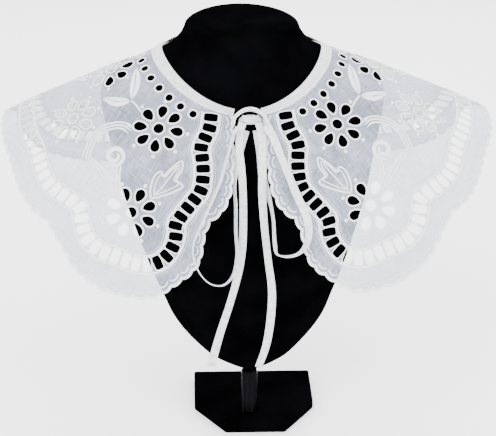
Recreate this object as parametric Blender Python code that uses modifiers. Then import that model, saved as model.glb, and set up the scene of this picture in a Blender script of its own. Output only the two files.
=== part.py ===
"""False collar of eyelet cotton, tied in a bow, on a display bust with its stem and base plate.

Metres, +Z up, front towards -Y, origin under the middle of the box round everything but the ties.
The cloth hangs from its neck edge. Each point of it is named by an angle round the neck, from the
front centre, and by its reach, the distance down the cloth from the neck edge. From the neck edge each
line of reach sets off in its own compass direction and slope, and bends evenly on its way. The flat
pattern is a ring: its radius is RING_RADIUS plus the reach, and its angle is the length along the neck
edge over RING_RADIUS.
"""

import bmesh
import bpy
import numpy as np
from mathutils.geometry import delaunay_2d_cdt

MM = 0.001
WALL = 1.2
GAP = 0.3
RING_RADIUS = 85.0
REACH_FULL = 170.0

NECK_MIDDLE_Y = 45.0
NECK_HALF_WIDTH = 77.0
NECK_FRONT_DEPTH = 70.0
NECK_BACK_DEPTH = 62.0
NECK_SIDE_Z = 345.0
NECK_FRONT_DROP = 38.0
NECK_BACK_RISE = 4.0
SHIFT_X = -6.9
SHIFT_Y = -37.8
LIFT = 6.5
TIP_REACH = 0.05

BINDING_WIDE = 9.6
BINDING_OUTER = 5.0
BINDING_THICK = 1.5
BINDING_END = 9.5
COLLAR_TOP = BINDING_OUTER + 0.9
SEAM_HALF = 0.5

LADDER_PITCH = 9.6
LADDER_ACROSS = 12.6
LADDER_ALONG = 7.5
PETAL_RING = 16.4
PETAL_LONG = 11.8
PETAL_WIDE = 7.6
FLOWER_EYE = 9.4
NECK_EYELET = 6.8
NECK_EYELET_REACH = 17.0
NECK_EYELET_FIRST = 33.0
NECK_EYELET_STEP = 8.4
NECK_EYELETS = 18
SCALLOP_PITCH = 12.0
SCALLOP_DEEP = 2.4

TIE_WIDE = 7.6
TIE_THICK = 1.2

BASE_THICK = 10.0
BASE_TURN = -3.1
BASE_X = 8.0
STEM_X = 2.5
STEM_Y = -8.0
BUST_LEAN = 4.0
STEM_WIDE = 15.0
STEM_DEEP = 12.0
BUST_BOTTOM = 47.0
KNOT_THICK = 4.6

# columns: angle round the neck, compass direction from the front, slope at the neck, slope at REACH_FULL
DRAPE = np.array([
    (0, 0, 60, 74),
    (30, 34, 47, 76),
    (60, 62, 32, 47),
    (90, 100, 20, 27),
    (120, 114, 35, 54),
    (150, 143, 56, 73),
    (180, 180, 68, 82),
], float)

# columns: angle round the neck, reach, 1 where two lobes meet in a point
HEM = np.array([
    (10.4, 5.9, 1), (9.2, 28, 0), (8.8, 50, 0), (9.2, 74, 0), (12.0, 92, 0), (16.3, 103, 1),
    (17.8, 115, 0), (18.2, 128, 0), (18.8, 140, 0), (20.8, 151, 0), (24.6, 163, 0), (28.4, 175, 0),
    (33.0, 186, 0), (38.5, 192, 0), (44.0, 195, 0), (49.5, 191, 0), (54.0, 181, 0), (58.5, 173.5, 1),
    (61.5, 175.5, 0), (65.0, 175, 0), (69.5, 170.5, 0), (74.3, 166, 1), (80, 165.5, 0), (87, 164, 0),
    (94, 163, 0), (99, 159, 1), (105, 167, 0), (114, 174, 0), (124, 175, 0), (134, 171, 0),
    (142, 162, 1), (150, 171, 0), (160, 175, 0), (170, 174, 0), (180, 170, 1),
], float)

# the same columns, for the middle line of the ladder of eyelets
LADDER = np.array([
    (23.2, 8, 1), (22.2, 23, 0), (23.6, 35, 0), (24.2, 44, 1), (22.2, 53, 0), (20.8, 67, 0),
    (21.0, 80, 0), (23.6, 92, 0), (27.9, 114, 1), (27.0, 123, 0), (27.9, 138, 0), (31.0, 152, 0),
    (36.0, 161, 0), (42.0, 164, 0), (46.5, 166.5, 0), (50.4, 161.5, 0), (54.4, 145, 1), (59.0, 148, 0),
    (64.0, 150, 0), (68.5, 145, 0), (71.3, 141, 1), (76, 140.5, 0), (83, 139, 0), (90, 138, 0),
    (95.5, 134, 1), (101, 141, 0), (110, 148, 0), (120, 150, 0), (130, 146, 0), (138, 137, 1),
    (146, 145, 0), (156, 150, 0), (167, 149, 0), (180, 146, 1),
], float)

# columns: angle round the neck, reach, turn of the first petal in degrees
FLOWERS = np.array([
    (45.4, 45.6, 27),
    (72.3, 97.5, 20),
    (86.4, 47.0, 10),
    (41.7, 122.6, 7),
    (132, 98, 10),
], float)

# columns: half width, front y, back y, height at the side, at the front, at the back, squareness
BUST = np.array([
    (9.0, -7.0, 9.0, 47.0, 47.0, 47.0, 2.0),
    (17.0, -10.0, 15.0, 49.0, 48.6, 49.0, 2.0),
    (30.0, -16.0, 20.0, 55.5, 54.0, 55.0, 2.0),
    (41.0, -20.5, 23.0, 63.5, 61.0, 62.0, 2.1),
    (58.0, -27.0, 28.0, 82.0, 78.0, 80.0, 2.1),
    (71.0, -33.0, 33.0, 102.0, 95.0, 99.0, 2.2),
    (80.0, -38.0, 39.0, 124.0, 114.0, 121.0, 2.2),
    (91.0, -42.5, 47.0, 152.0, 138.0, 148.0, 2.3),
    (103.0, -46.0, 58.0, 188.0, 168.0, 183.0, 2.3),
    (112.0, -48.0, 68.0, 218.0, 192.0, 212.0, 2.3),
    (118.0, -48.5, 77.0, 247.0, 213.0, 240.0, 2.3),
    (124.0, -48.0, 86.0, 274.0, 231.0, 265.0, 2.3),
    (128.5, -46.5, 93.0, 294.0, 245.0, 283.0, 2.2),
    (130.0, -44.5, 98.0, 307.0, 256.0, 297.0, 2.2),
    (127.5, -42.0, 101.5, 317.0, 266.0, 308.0, 2.1),
    (120.0, -37.5, 103.5, 324.0, 276.0, 318.0, 2.1),
    (107.0, -31.5, 104.5, 330.0, 286.0, 328.0, 2.0),
    (92.0, -25.0, 104.8, 336.5, 295.5, 338.0, 2.0),
    (77.0, -17.5, 104.0, 342.6, 301.6, 346.8, 2.0),
    (68.0, -13.5, 102.0, 347.6, 309.0, 352.0, 2.0),
    (62.5, -11.0, 100.2, 352.0, 321.0, 356.6, 2.0),
    (57.5, -9.0, 98.6, 357.4, 335.0, 361.4, 2.0),
    (54.0, -8.0, 97.5, 363.0, 351.0, 367.0, 2.0),
    (51.6, -6.0, 96.6, 369.0, 362.5, 373.6, 2.0),
    (49.6, -4.0, 94.6, 370.6, 364.6, 375.4, 2.0),
], float)

# columns: half width, y of the base plate's outline from the front to the back
BASE = np.array([
    (28.2, -35.0),
    (57.0, 16.0),
    (57.0, 85.0),
], float)

# columns: angle round the neck, slope of the binding
BINDING_SLOPE = np.array([
    (0, 14),
    (30, 18),
    (60, 22),
    (90, 23),
    (120, 32),
    (150, 46),
    (180, 55),
], float)

# columns: x, y, z of the middle line, then the direction of the tie's width
TAIL_LEFT = np.array([
    (-6.0, -36.6, 299.0, 1.0, 0.0, 0.1), (-8.6, -41.5, 291.5, 0.96, -0.2, 0.1),
    (-10.0, -51.0, 280.7, 0.95, -0.3, 0.0), (-8.2, -55.5, 259.3, 0.95, -0.3, 0.0),
    (-7.1, -55.5, 236.8, 0.85, -0.5, 0.0), (-7.1, -54.5, 206.4, 0.85, -0.5, 0.0),
    (-8.0, -54.0, 185.4, 0.9, -0.45, 0.05), (-11.7, -54.0, 161.4, 0.98, -0.1, -0.15),
    (-19.4, -54.0, 132.5, 0.96, 0.0, -0.25), (-28.2, -54.0, 104.3, 0.96, 0.1, -0.25),
    (-36.6, -54.0, 72.7, 0.97, 0.15, -0.2),
], float)
TAIL_RIGHT = np.array([
    (8.2, -36.8, 298.6, 1.0, 0.0, -0.1), (10.2, -43.0, 290.8, 0.96, 0.2, 0.0),
    (10.4, -52.0, 278.3, 0.97, 0.2, 0.0), (10.0, -55.5, 258.7, 0.97, 0.2, 0.0),
    (10.0, -55.5, 236.3, 0.93, 0.3, 0.0), (12.2, -54.0, 205.8, 0.95, 0.3, 0.1),
    (15.4, -54.0, 176.0, 0.98, 0.2, 0.1), (19.1, -54.0, 144.8, 0.98, 0.1, 0.0),
    (17.9, -54.0, 116.4, 0.97, 0.15, -0.1), (13.9, -54.0, 90.8, 0.96, 0.2, -0.2),
    (7.0, -54.0, 70.0, 0.95, 0.2, -0.3),
], float)
LOOP_LEFT = np.array([
    (-11.2, -45.6, 298.0, 0.3, -0.94, 0.1), (-15.6, -47.0, 290.0, 0.2, -0.95, 0.2),
    (-18.6, -51.0, 280.0, 0.2, -0.9, 0.3), (-22.9, -57.5, 267.9, 0.25, -0.9, 0.35),
    (-27.8, -63.8, 254.2, 0.3, -0.88, 0.35), (-36.3, -71.8, 237.5, 0.3, -0.87, 0.35),
    (-45.7, -79.2, 219.7, 0.25, -0.87, 0.35), (-52.7, -84.2, 205.6, 0.1, -0.9, 0.35),
    (-53.5, -88.2, 193.1, 0.0, -0.9, 0.35), (-48.6, -91.4, 179.5, 0.0, -0.93, 0.3),
    (-39.3, -91.6, 169.1, 0.0, -0.95, 0.3), (-27.2, -85.0, 164.7, 0.0, -0.95, 0.3),
    (-17.6, -74.0, 169.6, 0.1, -0.95, 0.2), (-12.9, -62.0, 183.8, 0.3, -0.93, 0.1),
    (-13.6, -55.0, 202.3, 0.3, -0.95, 0.0), (-13.6, -54.0, 227.2, 0.3, -0.95, 0.0),
    (-14.4, -52.0, 250.0, 0.3, -0.95, 0.0), (-9.8, -43.8, 273.0, 1.0, 0.0, 0.0),
    (-3.2, -35.2, 291.4, 1.0, 0.0, 0.0),
], float)
LOOP_RIGHT = np.array([
    (14.6, -44.6, 298.2, 0.9, 0.2, 0.35), (19.2, -50.0, 290.7, 0.9, 0.0, 0.4),
    (25.4, -55.5, 275.6, 0.9, -0.1, 0.45), (32.5, -62.5, 258.1, 0.88, 0.0, 0.5),
    (40.6, -68.0, 238.2, 0.85, 0.1, 0.5), (47.2, -74.0, 223.3, 0.85, -0.1, 0.4),
    (49.0, -80.5, 210.6, 0.7, -0.65, 0.2), (45.6, -86.0, 199.5, 0.5, -0.85, 0.1),
    (38.2, -87.0, 192.6, 0.2, -0.95, 0.2), (28.8, -81.0, 188.4, 0.1, -0.97, 0.2),
    (21.8, -72.0, 188.4, 0.2, -0.96, 0.2), (20.4, -61.0, 196.5, 0.3, -0.95, 0.1),
    (20.0, -55.5, 212.5, 0.3, -0.95, 0.0), (17.0, -52.0, 230.0, 0.5, -0.86, 0.0),
    (11.2, -49.0, 250.0, 1.0, 0.0, 0.0), (9.4, -45.0, 273.0, 1.0, 0.0, 0.0),
    (6.8, -35.4, 291.4, 1.0, 0.0, 0.0),
], float)
KNOT = np.array([
    (-15.2, -37.6, 297.5, 0.1, -0.9, 0.4), (-12.6, -36.5, 304.5, 0.1, -0.9, 0.4),
    (-4.5, -34.5, 309.8, 0.0, -0.9, 0.45), (4.5, -35.0, 310.4, 0.0, -0.9, 0.45),
    (12.8, -36.6, 305.4, -0.1, -0.9, 0.4), (17.0, -38.4, 297.2, -0.1, -0.9, 0.4),
], float)


def smooth_table(angle, table):
    """Rows of the table at these angles: a cubic through the rows, whose first column steps evenly."""
    step = table[1, 0] - table[0, 0]
    place = np.clip(np.abs(angle) / step, 0, len(table) - 1 - 1e-9)
    row = place.astype(int)
    part = (place - row)[..., None]
    rows = np.vstack([2 * table[0] - table[1], table, 2 * table[-1] - table[-2]])[:, 1:]
    before, here, after, beyond = rows[row], rows[row + 1], rows[row + 2], rows[row + 3]
    bend = 2 * before - 5 * here + 4 * after - beyond
    twist = beyond - before + 3 * (here - after)
    return here + 0.5 * part * (after - before + part * (bend + part * twist))


def neck_edge(angle):
    """Point of the neck edge: two half ellipses, dropping towards the front."""
    turn = np.radians(angle)
    ahead = np.cos(turn)
    depth = np.where(ahead > 0, NECK_FRONT_DEPTH, NECK_BACK_DEPTH)
    drop = NECK_FRONT_DROP * np.clip(ahead, 0, None) ** 1.6
    rise = NECK_BACK_RISE * np.clip(-ahead, 0, None) ** 2
    height = NECK_SIDE_Z - drop + rise
    return np.stack([NECK_HALF_WIDTH * np.sin(turn), NECK_MIDDLE_Y - depth * ahead, height], -1)


def drape(angle, reach):
    """Point of the right half's middle surface: each line of reach is a bent arc in an upright plane."""
    angle, reach = np.broadcast_arrays(np.asarray(angle, float), np.asarray(reach, float))
    direction, slope, slope_out = np.moveaxis(np.radians(smooth_table(angle, DRAPE)), -1, 0)
    bend = (slope_out - slope) / REACH_FULL
    out = (np.sin(slope + bend * reach) - np.sin(slope)) / bend
    down = (np.cos(slope) - np.cos(slope + bend * reach)) / bend
    return neck_edge(angle) + np.stack([out * np.sin(direction), -out * np.cos(direction), -down], -1)


ANGLES = np.linspace(0, 180, 721)
EDGE_STEPS = np.linalg.norm(np.diff(neck_edge(ANGLES), axis=0), axis=1)
EDGE_LENGTHS = np.concatenate([[0], np.cumsum(EDGE_STEPS)])


def to_flat(angle, reach):
    """Point of the flat pattern, from angle and reach."""
    turn = np.interp(angle, ANGLES, EDGE_LENGTHS) / RING_RADIUS
    radius = RING_RADIUS + np.asarray(reach, float)
    return np.stack([radius * np.cos(turn), radius * np.sin(turn)], -1)


def from_flat(flat):
    """Angle and reach, from a point of the flat pattern."""
    turn = np.arctan2(flat[..., 1], flat[..., 0])
    turn = np.where(turn < -0.5, turn + 2 * np.pi, turn)
    angle = np.interp(turn * RING_RADIUS, EDGE_LENGTHS, ANGLES)
    return angle, np.hypot(flat[..., 0], flat[..., 1]) - RING_RADIUS


def hang(flat):
    """Point in space, from a point of the flat pattern."""
    return drape(*from_flat(flat))


def place_figure(centre, heading, figure):
    """Pattern points of a figure drawn true to size on the hanging cloth, round centres, along headings."""
    grow = np.stack([(hang(centre + step) - hang(centre - step)) for step in 0.5 * np.eye(2)], -1)
    along = np.einsum("...ij,...j->...i", grow, heading)
    along = along / np.linalg.norm(along, axis=-1, keepdims=True)
    facing = np.cross(grow[..., 0], grow[..., 1])
    facing = facing / np.linalg.norm(facing, axis=-1, keepdims=True)
    across = np.cross(facing, along)
    offset = figure[..., :1] * along[..., None, :] + figure[..., 1:] * across[..., None, :]
    return centre[..., None, :] + np.einsum("...ij,...kj->...ki", np.linalg.pinv(grow), offset)


def trace(table, step=1.0):
    """Points 1 mm apart on the hanging cloth: a cubic through the rows, broken where two lobes meet."""
    runs = []
    ends = np.flatnonzero(table[:, 2])
    for first, last in zip(ends[:-1], ends[1:]):
        rows = table[first : last + 1, :2]
        rows = np.vstack([2 * rows[0] - rows[1], rows, 2 * rows[-1] - rows[-2]])
        part = np.linspace(0, len(rows) - 3, 40 * (len(rows) - 3) + 1)
        row = np.minimum(part.astype(int), len(rows) - 4)
        part = (part - row)[:, None]
        before, here, after, beyond = rows[row], rows[row + 1], rows[row + 2], rows[row + 3]
        bend = 2 * before - 5 * here + 4 * after - beyond
        twist = beyond - before + 3 * (here - after)
        run = here + 0.5 * part * (after - before + part * (bend + part * twist))
        length = run_length(run)
        marks = np.linspace(0, length[-1], max(2, round(length[-1] / step)) + 1)
        runs.append(np.stack([np.interp(marks, length, run[:, i]) for i in range(2)], -1))
    return runs


def run_length(run):
    """Length along the hanging cloth to each point of a run of angles and reaches."""
    steps = np.linalg.norm(np.diff(drape(run[:, 0], run[:, 1]), axis=0), axis=1)
    return np.concatenate([[0], np.cumsum(steps)])


def headings(flat):
    """Unit direction at each point of a line in the flat pattern."""
    step = np.gradient(flat, axis=0)
    return step / np.linalg.norm(step, axis=1, keepdims=True)


def ladder_holes():
    """Four corners of each ladder eyelet, all along the ladder's middle line."""
    line = np.concatenate(trace(LADDER))
    length = run_length(line)
    count = int(length[-1] / LADDER_PITCH)
    marks = (np.arange(count) + 0.5) * length[-1] / count
    flat = to_flat(line[:, 0], line[:, 1])
    smooth = headings(np.stack([np.interp(marks, length, flat[:, i]) for i in range(2)], -1))
    centre = np.stack([np.interp(marks, length, flat[:, i]) for i in range(2)], -1)
    along, across = LADDER_ALONG / 2, LADDER_ACROSS / 2
    corners = np.array([(-along, -across), (along, -across), (along, across), (-along, across)])
    return list(place_figure(centre, smooth, np.broadcast_to(corners, (count, 4, 2))))


def round_figure(size, sides, middle=(0.0, 0.0)):
    turn = 2 * np.pi * (np.arange(sides) + 0.5) / sides
    return np.stack([np.cos(turn), np.sin(turn)], -1) * size / 2 + middle


def petal_figure(turn):
    """Six corners of a petal eyelet, pointed towards the flower's middle."""
    along = PETAL_LONG * np.array([-0.5, -0.1, 0.3, 0.5, 0.3, -0.1])
    across = PETAL_WIDE * np.array([0.0, -0.46, -0.42, 0.0, 0.42, 0.46])
    out = PETAL_RING + along
    right, up = np.array([np.cos(turn), np.sin(turn)]), np.array([-np.sin(turn), np.cos(turn)])
    return out[:, None] * right + across[:, None] * up


def flower_holes():
    """The round middle and eight petals of each flower."""
    holes = []
    for angle, reach, turn in FLOWERS:
        centre = to_flat(angle, reach)
        heading = to_flat(angle, reach + 1) - centre
        figures = [round_figure(FLOWER_EYE, 6)]
        figures += [petal_figure(np.radians(turn + 45 * i)) for i in range(8)]
        holes += [place_figure(centre, heading, figure) for figure in figures]
    return holes


def neck_holes():
    """The row of round eyelets below the binding."""
    angle = NECK_EYELET_FIRST + NECK_EYELET_STEP * np.arange(NECK_EYELETS)
    centre = to_flat(angle, NECK_EYELET_REACH)
    heading = to_flat(angle, NECK_EYELET_REACH + 1) - centre
    figure = np.broadcast_to(round_figure(NECK_EYELET, 6), (NECK_EYELETS, 6, 2))
    return list(place_figure(centre, heading, figure))


def outline():
    """Outline of one half in the flat pattern: neck edge, back seam, then the scalloped hem."""
    hem = []
    for run in trace(HEM):
        flat = to_flat(run[:, 0], run[:, 1])
        length = run_length(run)
        count = max(1, round(length[-1] / SCALLOP_PITCH))
        marks = np.linspace(0, length[-1], 2 * count + 1)
        points = np.stack([np.interp(marks, length, flat[:, i]) for i in range(2)], -1)
        heading = headings(points)
        out = np.stack([-heading[:, 1], heading[:, 0]], -1)
        out *= np.sign(np.sum(out * points, axis=1).mean())
        points[1::2] += out[1::2] * SCALLOP_DEEP * 0.5
        points[2:-1:2] -= out[2:-1:2] * SCALLOP_DEEP * 0.5
        hem.append(points[:-1])
    angle = np.linspace(HEM[0, 0], 180, 27)
    top = to_flat(angle, COLLAR_TOP)
    reach = np.linspace(COLLAR_TOP, HEM[-1, 1], 10)[1:]
    back = to_flat(180, reach)
    return np.concatenate([top, back, np.concatenate(hem)[:0:-1]])


def inner_points(edge, room):
    """Points on rings of equal reach inside the outline, clear of every edge."""
    found = []
    for reach in np.arange(COLLAR_TOP + 16, 195, 18):
        radius = RING_RADIUS + reach
        count = int(EDGE_LENGTHS[-1] / RING_RADIUS * radius / 22)
        turn = (np.arange(count) + 0.5) * EDGE_LENGTHS[-1] / RING_RADIUS / count
        found.append(np.stack([radius * np.cos(turn), radius * np.sin(turn)], -1))
    found = np.concatenate(found)
    away = np.linalg.norm(found[:, None] - edge[None], axis=-1).min(axis=1)
    return found[away > room]


def make_object(name, points, faces, colour, rough, collection, metal=0.0):
    """Object from points in millimetres, with its own material."""
    mesh = bpy.data.meshes.new(name)
    points = np.asarray(points, float) + [SHIFT_X, SHIFT_Y, LIFT]
    mesh.from_pydata((points * MM).tolist(), [], [list(map(int, face)) for face in faces])
    mesh.validate()
    made = bpy.data.objects.new(name, mesh)
    collection.objects.link(made)
    material = bpy.data.materials.new(name + "_look")
    material.use_nodes = True
    shader = material.node_tree.nodes["Principled BSDF"]
    shader.inputs["Base Color"].default_value = (*colour, 1)
    shader.inputs["Roughness"].default_value = rough
    shader.inputs["Metallic"].default_value = metal
    mesh.materials.append(material)
    return made


def thicken(made, wall):
    solid = made.modifiers.new("wall", "SOLIDIFY")
    solid.thickness = wall * MM
    solid.offset = 0
    solid.use_even_offset = False


def collar_half(name, side, collection):
    """One cut piece: its outline and eyelets, filled with triangles, hung in space and given a wall."""
    loops = [outline()] + ladder_holes() + flower_holes() + neck_holes()
    edge = np.concatenate(loops)
    links = []
    start = 0
    for loop in loops:
        number = np.arange(len(loop))
        links += (start + np.stack([number, np.roll(number, -1)], -1)).tolist()
        start += len(loop)
    points = np.concatenate([edge, inner_points(edge, 8.0)])
    loop_of = np.repeat(np.arange(len(loops)), [len(loop) for loop in loops])
    loop_of = np.concatenate([loop_of, np.zeros(len(points) - len(edge), int)])
    flat, _, faces, source, _, _ = delaunay_2d_cdt([tuple(p) for p in points], links, [], 1, 1e-5)
    flat = np.array([tuple(p) for p in flat])
    owner = np.array([loop_of[ids[0]] if ids else 0 for ids in source])[np.array(faces)]
    inside_hole = (owner[:, 0] > 0) & (owner[:, 0] == owner[:, 1]) & (owner[:, 1] == owner[:, 2])
    faces = [list(face) for face, hole in zip(faces, inside_hole) if not hole]
    used = np.unique(np.concatenate(faces))
    renumber = np.zeros(len(flat), int)
    renumber[used] = np.arange(len(used))
    angle, reach = from_flat(flat[used])
    tip = side * TIP_REACH * np.exp(-(((angle - 90) / 22) ** 2)) * np.clip(reach / 165, 0, 1) ** 0.5
    space = drape(angle, np.maximum(reach * (1 + tip), COLLAR_TOP))
    space[:, 0] = np.maximum(space[:, 0], SEAM_HALF)
    space[:, 0] *= side
    turned = [[renumber[i] for i in (face if side > 0 else face[::-1])] for face in faces]
    made = make_object(name, space, turned, (0.9, 0.9, 0.92), 0.8, collection)
    thicken(made, WALL)
    return made


def grid_faces(rows, columns):
    """Quads of a grid of points, row by row."""
    row, column = np.meshgrid(np.arange(rows - 1), np.arange(columns - 1), indexing="ij")
    corner = (row * columns + column).ravel()
    return np.stack([corner, corner + 1, corner + columns + 1, corner + columns], -1)


def tape(angle, part):
    """Point of the binding: part 0 at its outer edge by the cloth, 1 at its inner edge by the neck."""
    angle, part = np.broadcast_arrays(np.asarray(angle, float), np.asarray(part, float))
    direction = np.radians(smooth_table(angle, DRAPE)[..., 0])
    slope = np.radians(smooth_table(angle, BINDING_SLOPE)[..., 0])
    inward = BINDING_WIDE * part
    level = np.stack([-np.sin(direction), np.cos(direction), 0 * slope], -1) * np.cos(slope)[..., None]
    rise = np.sin(slope)[..., None] * np.array([0.0, 0.0, 1.0])
    return drape(angle, BINDING_OUTER) + inward[..., None] * (level + rise)


def binding(collection):
    """The tape round the neck edge, from one front end round the back to the other."""
    angle = np.linspace(BINDING_END, 360 - BINDING_END, 73)
    side = np.where(angle <= 180, 1.0, -1.0)
    space = tape(np.minimum(angle, 360 - angle)[:, None], np.array([[0.0, 1.0]]))
    space[..., 0] *= side[:, None]
    faces = grid_faces(73, 2)
    made = make_object("neck_binding", space.reshape(-1, 3), faces, (0.88, 0.88, 0.9), 0.8, collection)
    thicken(made, BINDING_THICK)
    return made


def smooth_rows(rows, steps):
    """A cubic through the rows of a table, with this many points between two rows."""
    part = np.linspace(0, len(rows) - 1, steps * (len(rows) - 1) + 1)
    row = np.minimum(part.astype(int), len(rows) - 2)
    part = (part - row)[:, None]
    padded = np.vstack([2 * rows[0] - rows[1], rows, 2 * rows[-1] - rows[-2]])
    before, here, after, beyond = padded[row], padded[row + 1], padded[row + 2], padded[row + 3]
    bend = 2 * before - 5 * here + 4 * after - beyond
    twist = beyond - before + 3 * (here - after)
    return here + 0.5 * part * (after - before + part * (bend + part * twist))


def tie(name, table, wall, collection):
    """A flat tie along its middle line."""
    rows = smooth_rows(table, 2 if len(table) > 12 else 3)
    width = rows[:, 3:6]
    width = width / np.linalg.norm(width, axis=1, keepdims=True)
    space = rows[:, None, :3] + TIE_WIDE * np.array([-0.5, 0.5])[None, :, None] * width[:, None]
    faces = grid_faces(len(rows), 2)
    made = make_object(name, space.reshape(-1, 3), faces, (0.9, 0.9, 0.9), 0.8, collection)
    thicken(made, wall)
    return made


def bust(collection):
    """Velvet bust: a loft of closed loops whose height dips towards the front, kept behind the cloth."""
    around = 36
    turn = 2 * np.pi * np.arange(around) / around
    half, front, back, z_side, z_front, z_back, square = (column[:, None] for column in BUST.T)
    ahead, aside = np.cos(turn)[None], np.sin(turn)[None]
    shape = (np.abs(ahead) ** square + np.abs(aside) ** square) ** (-1 / square)
    middle = np.where(z_side > 330, NECK_MIDDLE_Y, (front + back) / 2 + 8)
    depth = np.where(ahead > 0, middle - front, back - middle)
    x = half * aside * shape
    y = middle - depth * ahead * shape
    drop = np.clip(ahead, 0, None) ** 1.6 * (z_side - z_front)
    rise = np.clip(-ahead, 0, None) ** 1.6 * (z_back - z_side)
    z = z_side - drop + rise + 0 * x
    points = keep_behind(np.stack([x, y, z], -1).reshape(-1, 3))
    points[:, 0] += BUST_LEAN * np.clip(1 - (points[:, 2] - BUST_BOTTOM) / 260, 0, 1) ** 1.5
    rings = len(BUST)
    ring, place = np.meshgrid(np.arange(rings - 1), np.arange(around), indexing="ij")
    here, beside = ring * around + place, ring * around + (place + 1) % around
    faces = np.stack([here, beside, beside + around, here + around], -1).reshape(-1, 4).tolist()
    faces += [list(range(around))[::-1], list(range((rings - 1) * around, rings * around))]
    return make_object("bust", points, faces, (0.01, 0.01, 0.012), 0.95, collection)


def keep_behind(points):
    """Points moved in along the facing of cloth and binding, where they come nearer than the gap."""
    sheets = [
        (drape, np.linspace(COLLAR_TOP, 150, 90), WALL / 2 + GAP + 0.1),
        (tape, np.linspace(0, 1, 14), BINDING_THICK / 2 + GAP + 0.1),
    ]
    folded = np.stack([np.abs(points[:, 0]), points[:, 1], points[:, 2]], -1)
    for _ in range(3):
        for sheet, steps, bound in sheets:
            angle, place = np.meshgrid(np.linspace(6, 180, 140), steps, indexing="ij")
            cloth = sheet(angle, place)
            by_angle, by_place = np.gradient(cloth, axis=0), np.gradient(cloth, axis=1)
            facing = np.cross(by_angle, by_place)
            facing = facing / np.linalg.norm(facing, axis=-1, keepdims=True)
            facing *= np.sign(facing[70, len(steps) // 2, 2])
            cloth, facing = cloth.reshape(-1, 3), facing.reshape(-1, 3)
            away = ((folded[:, None] - cloth[None]) ** 2).sum(-1)
            near = away.argmin(axis=1)
            place = near % len(steps)
            beside = (place > 0) & (place < len(steps) - 1) & (near >= len(steps))
            height = np.einsum("ij,ij->i", folded - cloth[near], facing[near])
            push = np.where(beside & (away.min(axis=1) < 400), np.clip(height + bound, 0, None), 0)
            folded -= push[:, None] * facing[near]
    return np.where(points[:, :1] < 0, folded * [-1, 1, 1], folded)


def knot_core(collection):
    """The crossed ties under the bow's arch, as one rounded lump."""
    mesh = bmesh.new()
    bmesh.ops.create_uvsphere(mesh, u_segments=14, v_segments=8, radius=1)
    points = np.array([tuple(point.co) for point in mesh.verts]) * [10.6, 4.6, 4.8] + [1.4, -31.6, 300.2]
    faces = [[point.index for point in face.verts] for face in mesh.faces]
    mesh.free()
    return make_object("knot_core", points, faces, (0.8, 0.8, 0.8), 0.8, collection)


def base_plate(collection):
    """Half octagon plate, turned a little under the bust."""
    right = BASE
    left = BASE[::-1] * [-1, 1]
    ring = np.vstack([right, left])
    turn = np.radians(BASE_TURN)
    ring = ring @ np.array([[np.cos(turn), np.sin(turn)], [-np.sin(turn), np.cos(turn)]]) + [BASE_X, 0]
    count = len(ring)
    low, high = np.full(count, -LIFT), np.full(count, BASE_THICK - LIFT)
    points = np.vstack([np.c_[ring, low], np.c_[ring, high]])
    sides = [[i, (i + 1) % count, count + (i + 1) % count, count + i] for i in range(count)]
    faces = [list(range(count))[::-1], list(range(count, 2 * count))] + sides
    made = make_object("base_plate", points, faces, (0.012, 0.012, 0.014), 0.95, collection)
    round_off = made.modifiers.new("rounded", "BEVEL")
    round_off.width = 2.0 * MM
    round_off.segments = 2
    round_off.limit_method = "ANGLE"
    return made


def stem(collection):
    """Short flat post from the plate to the bust."""
    low, high = BASE_THICK - LIFT + GAP, BUST_BOTTOM - GAP
    turn = np.radians(BASE_TURN)
    corner = np.array([(-1, -1), (1, -1), (1, 1), (-1, 1)]) * [STEM_WIDE / 2, STEM_DEEP / 2]
    turned = np.array([[np.cos(turn), np.sin(turn)], [-np.sin(turn), np.cos(turn)]])
    corner = corner @ turned + [STEM_X, STEM_Y]
    points = np.vstack([np.c_[corner, np.full(4, low)], np.c_[corner, np.full(4, high)]])
    faces = [[3, 2, 1, 0], [4, 5, 6, 7]] + [[i, (i + 1) % 4, 4 + (i + 1) % 4, 4 + i] for i in range(4)]
    made = make_object("stem", points, faces, (0.03, 0.025, 0.04), 0.2, collection)
    round_off = made.modifiers.new("rounded", "BEVEL")
    round_off.width = 2.0 * MM
    round_off.segments = 2
    return made


def main():
    for found in list(bpy.data.objects):
        bpy.data.objects.remove(found)
    collection = bpy.data.collections.new("false_collar")
    bpy.context.scene.collection.children.link(collection)
    collar_half("collar_right", 1, collection)
    collar_half("collar_left", -1, collection)
    binding(collection)
    tie("tail_left", TAIL_LEFT, TIE_THICK, collection)
    tie("tail_right", TAIL_RIGHT, TIE_THICK, collection)
    tie("loop_left", LOOP_LEFT, TIE_THICK, collection)
    tie("loop_right", LOOP_RIGHT, TIE_THICK, collection)
    tie("knot", KNOT, KNOT_THICK, collection)
    knot_core(collection)
    bust(collection)
    base_plate(collection)
    stem(collection)


main()
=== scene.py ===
"""Looks of a false collar of white eyelet cotton, tied in a bow, on a black velvet display bust.

Lengths are millimetres inside the script, and metres in the meshes. The cloth is a surface of
two parameters: the angle round the neck from the front centre, in degrees, and the reach down the
cloth from the neck edge. Its flat pattern is a ring whose radius is RING_RADIUS plus the reach.
Every stitch, cord and hole is drawn in that flat pattern and hung in space by the same formula as
the cloth.
"""

import bmesh
import bpy
import numpy as np
from mathutils import Matrix, Vector
from mathutils.geometry import delaunay_2d_cdt


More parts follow.
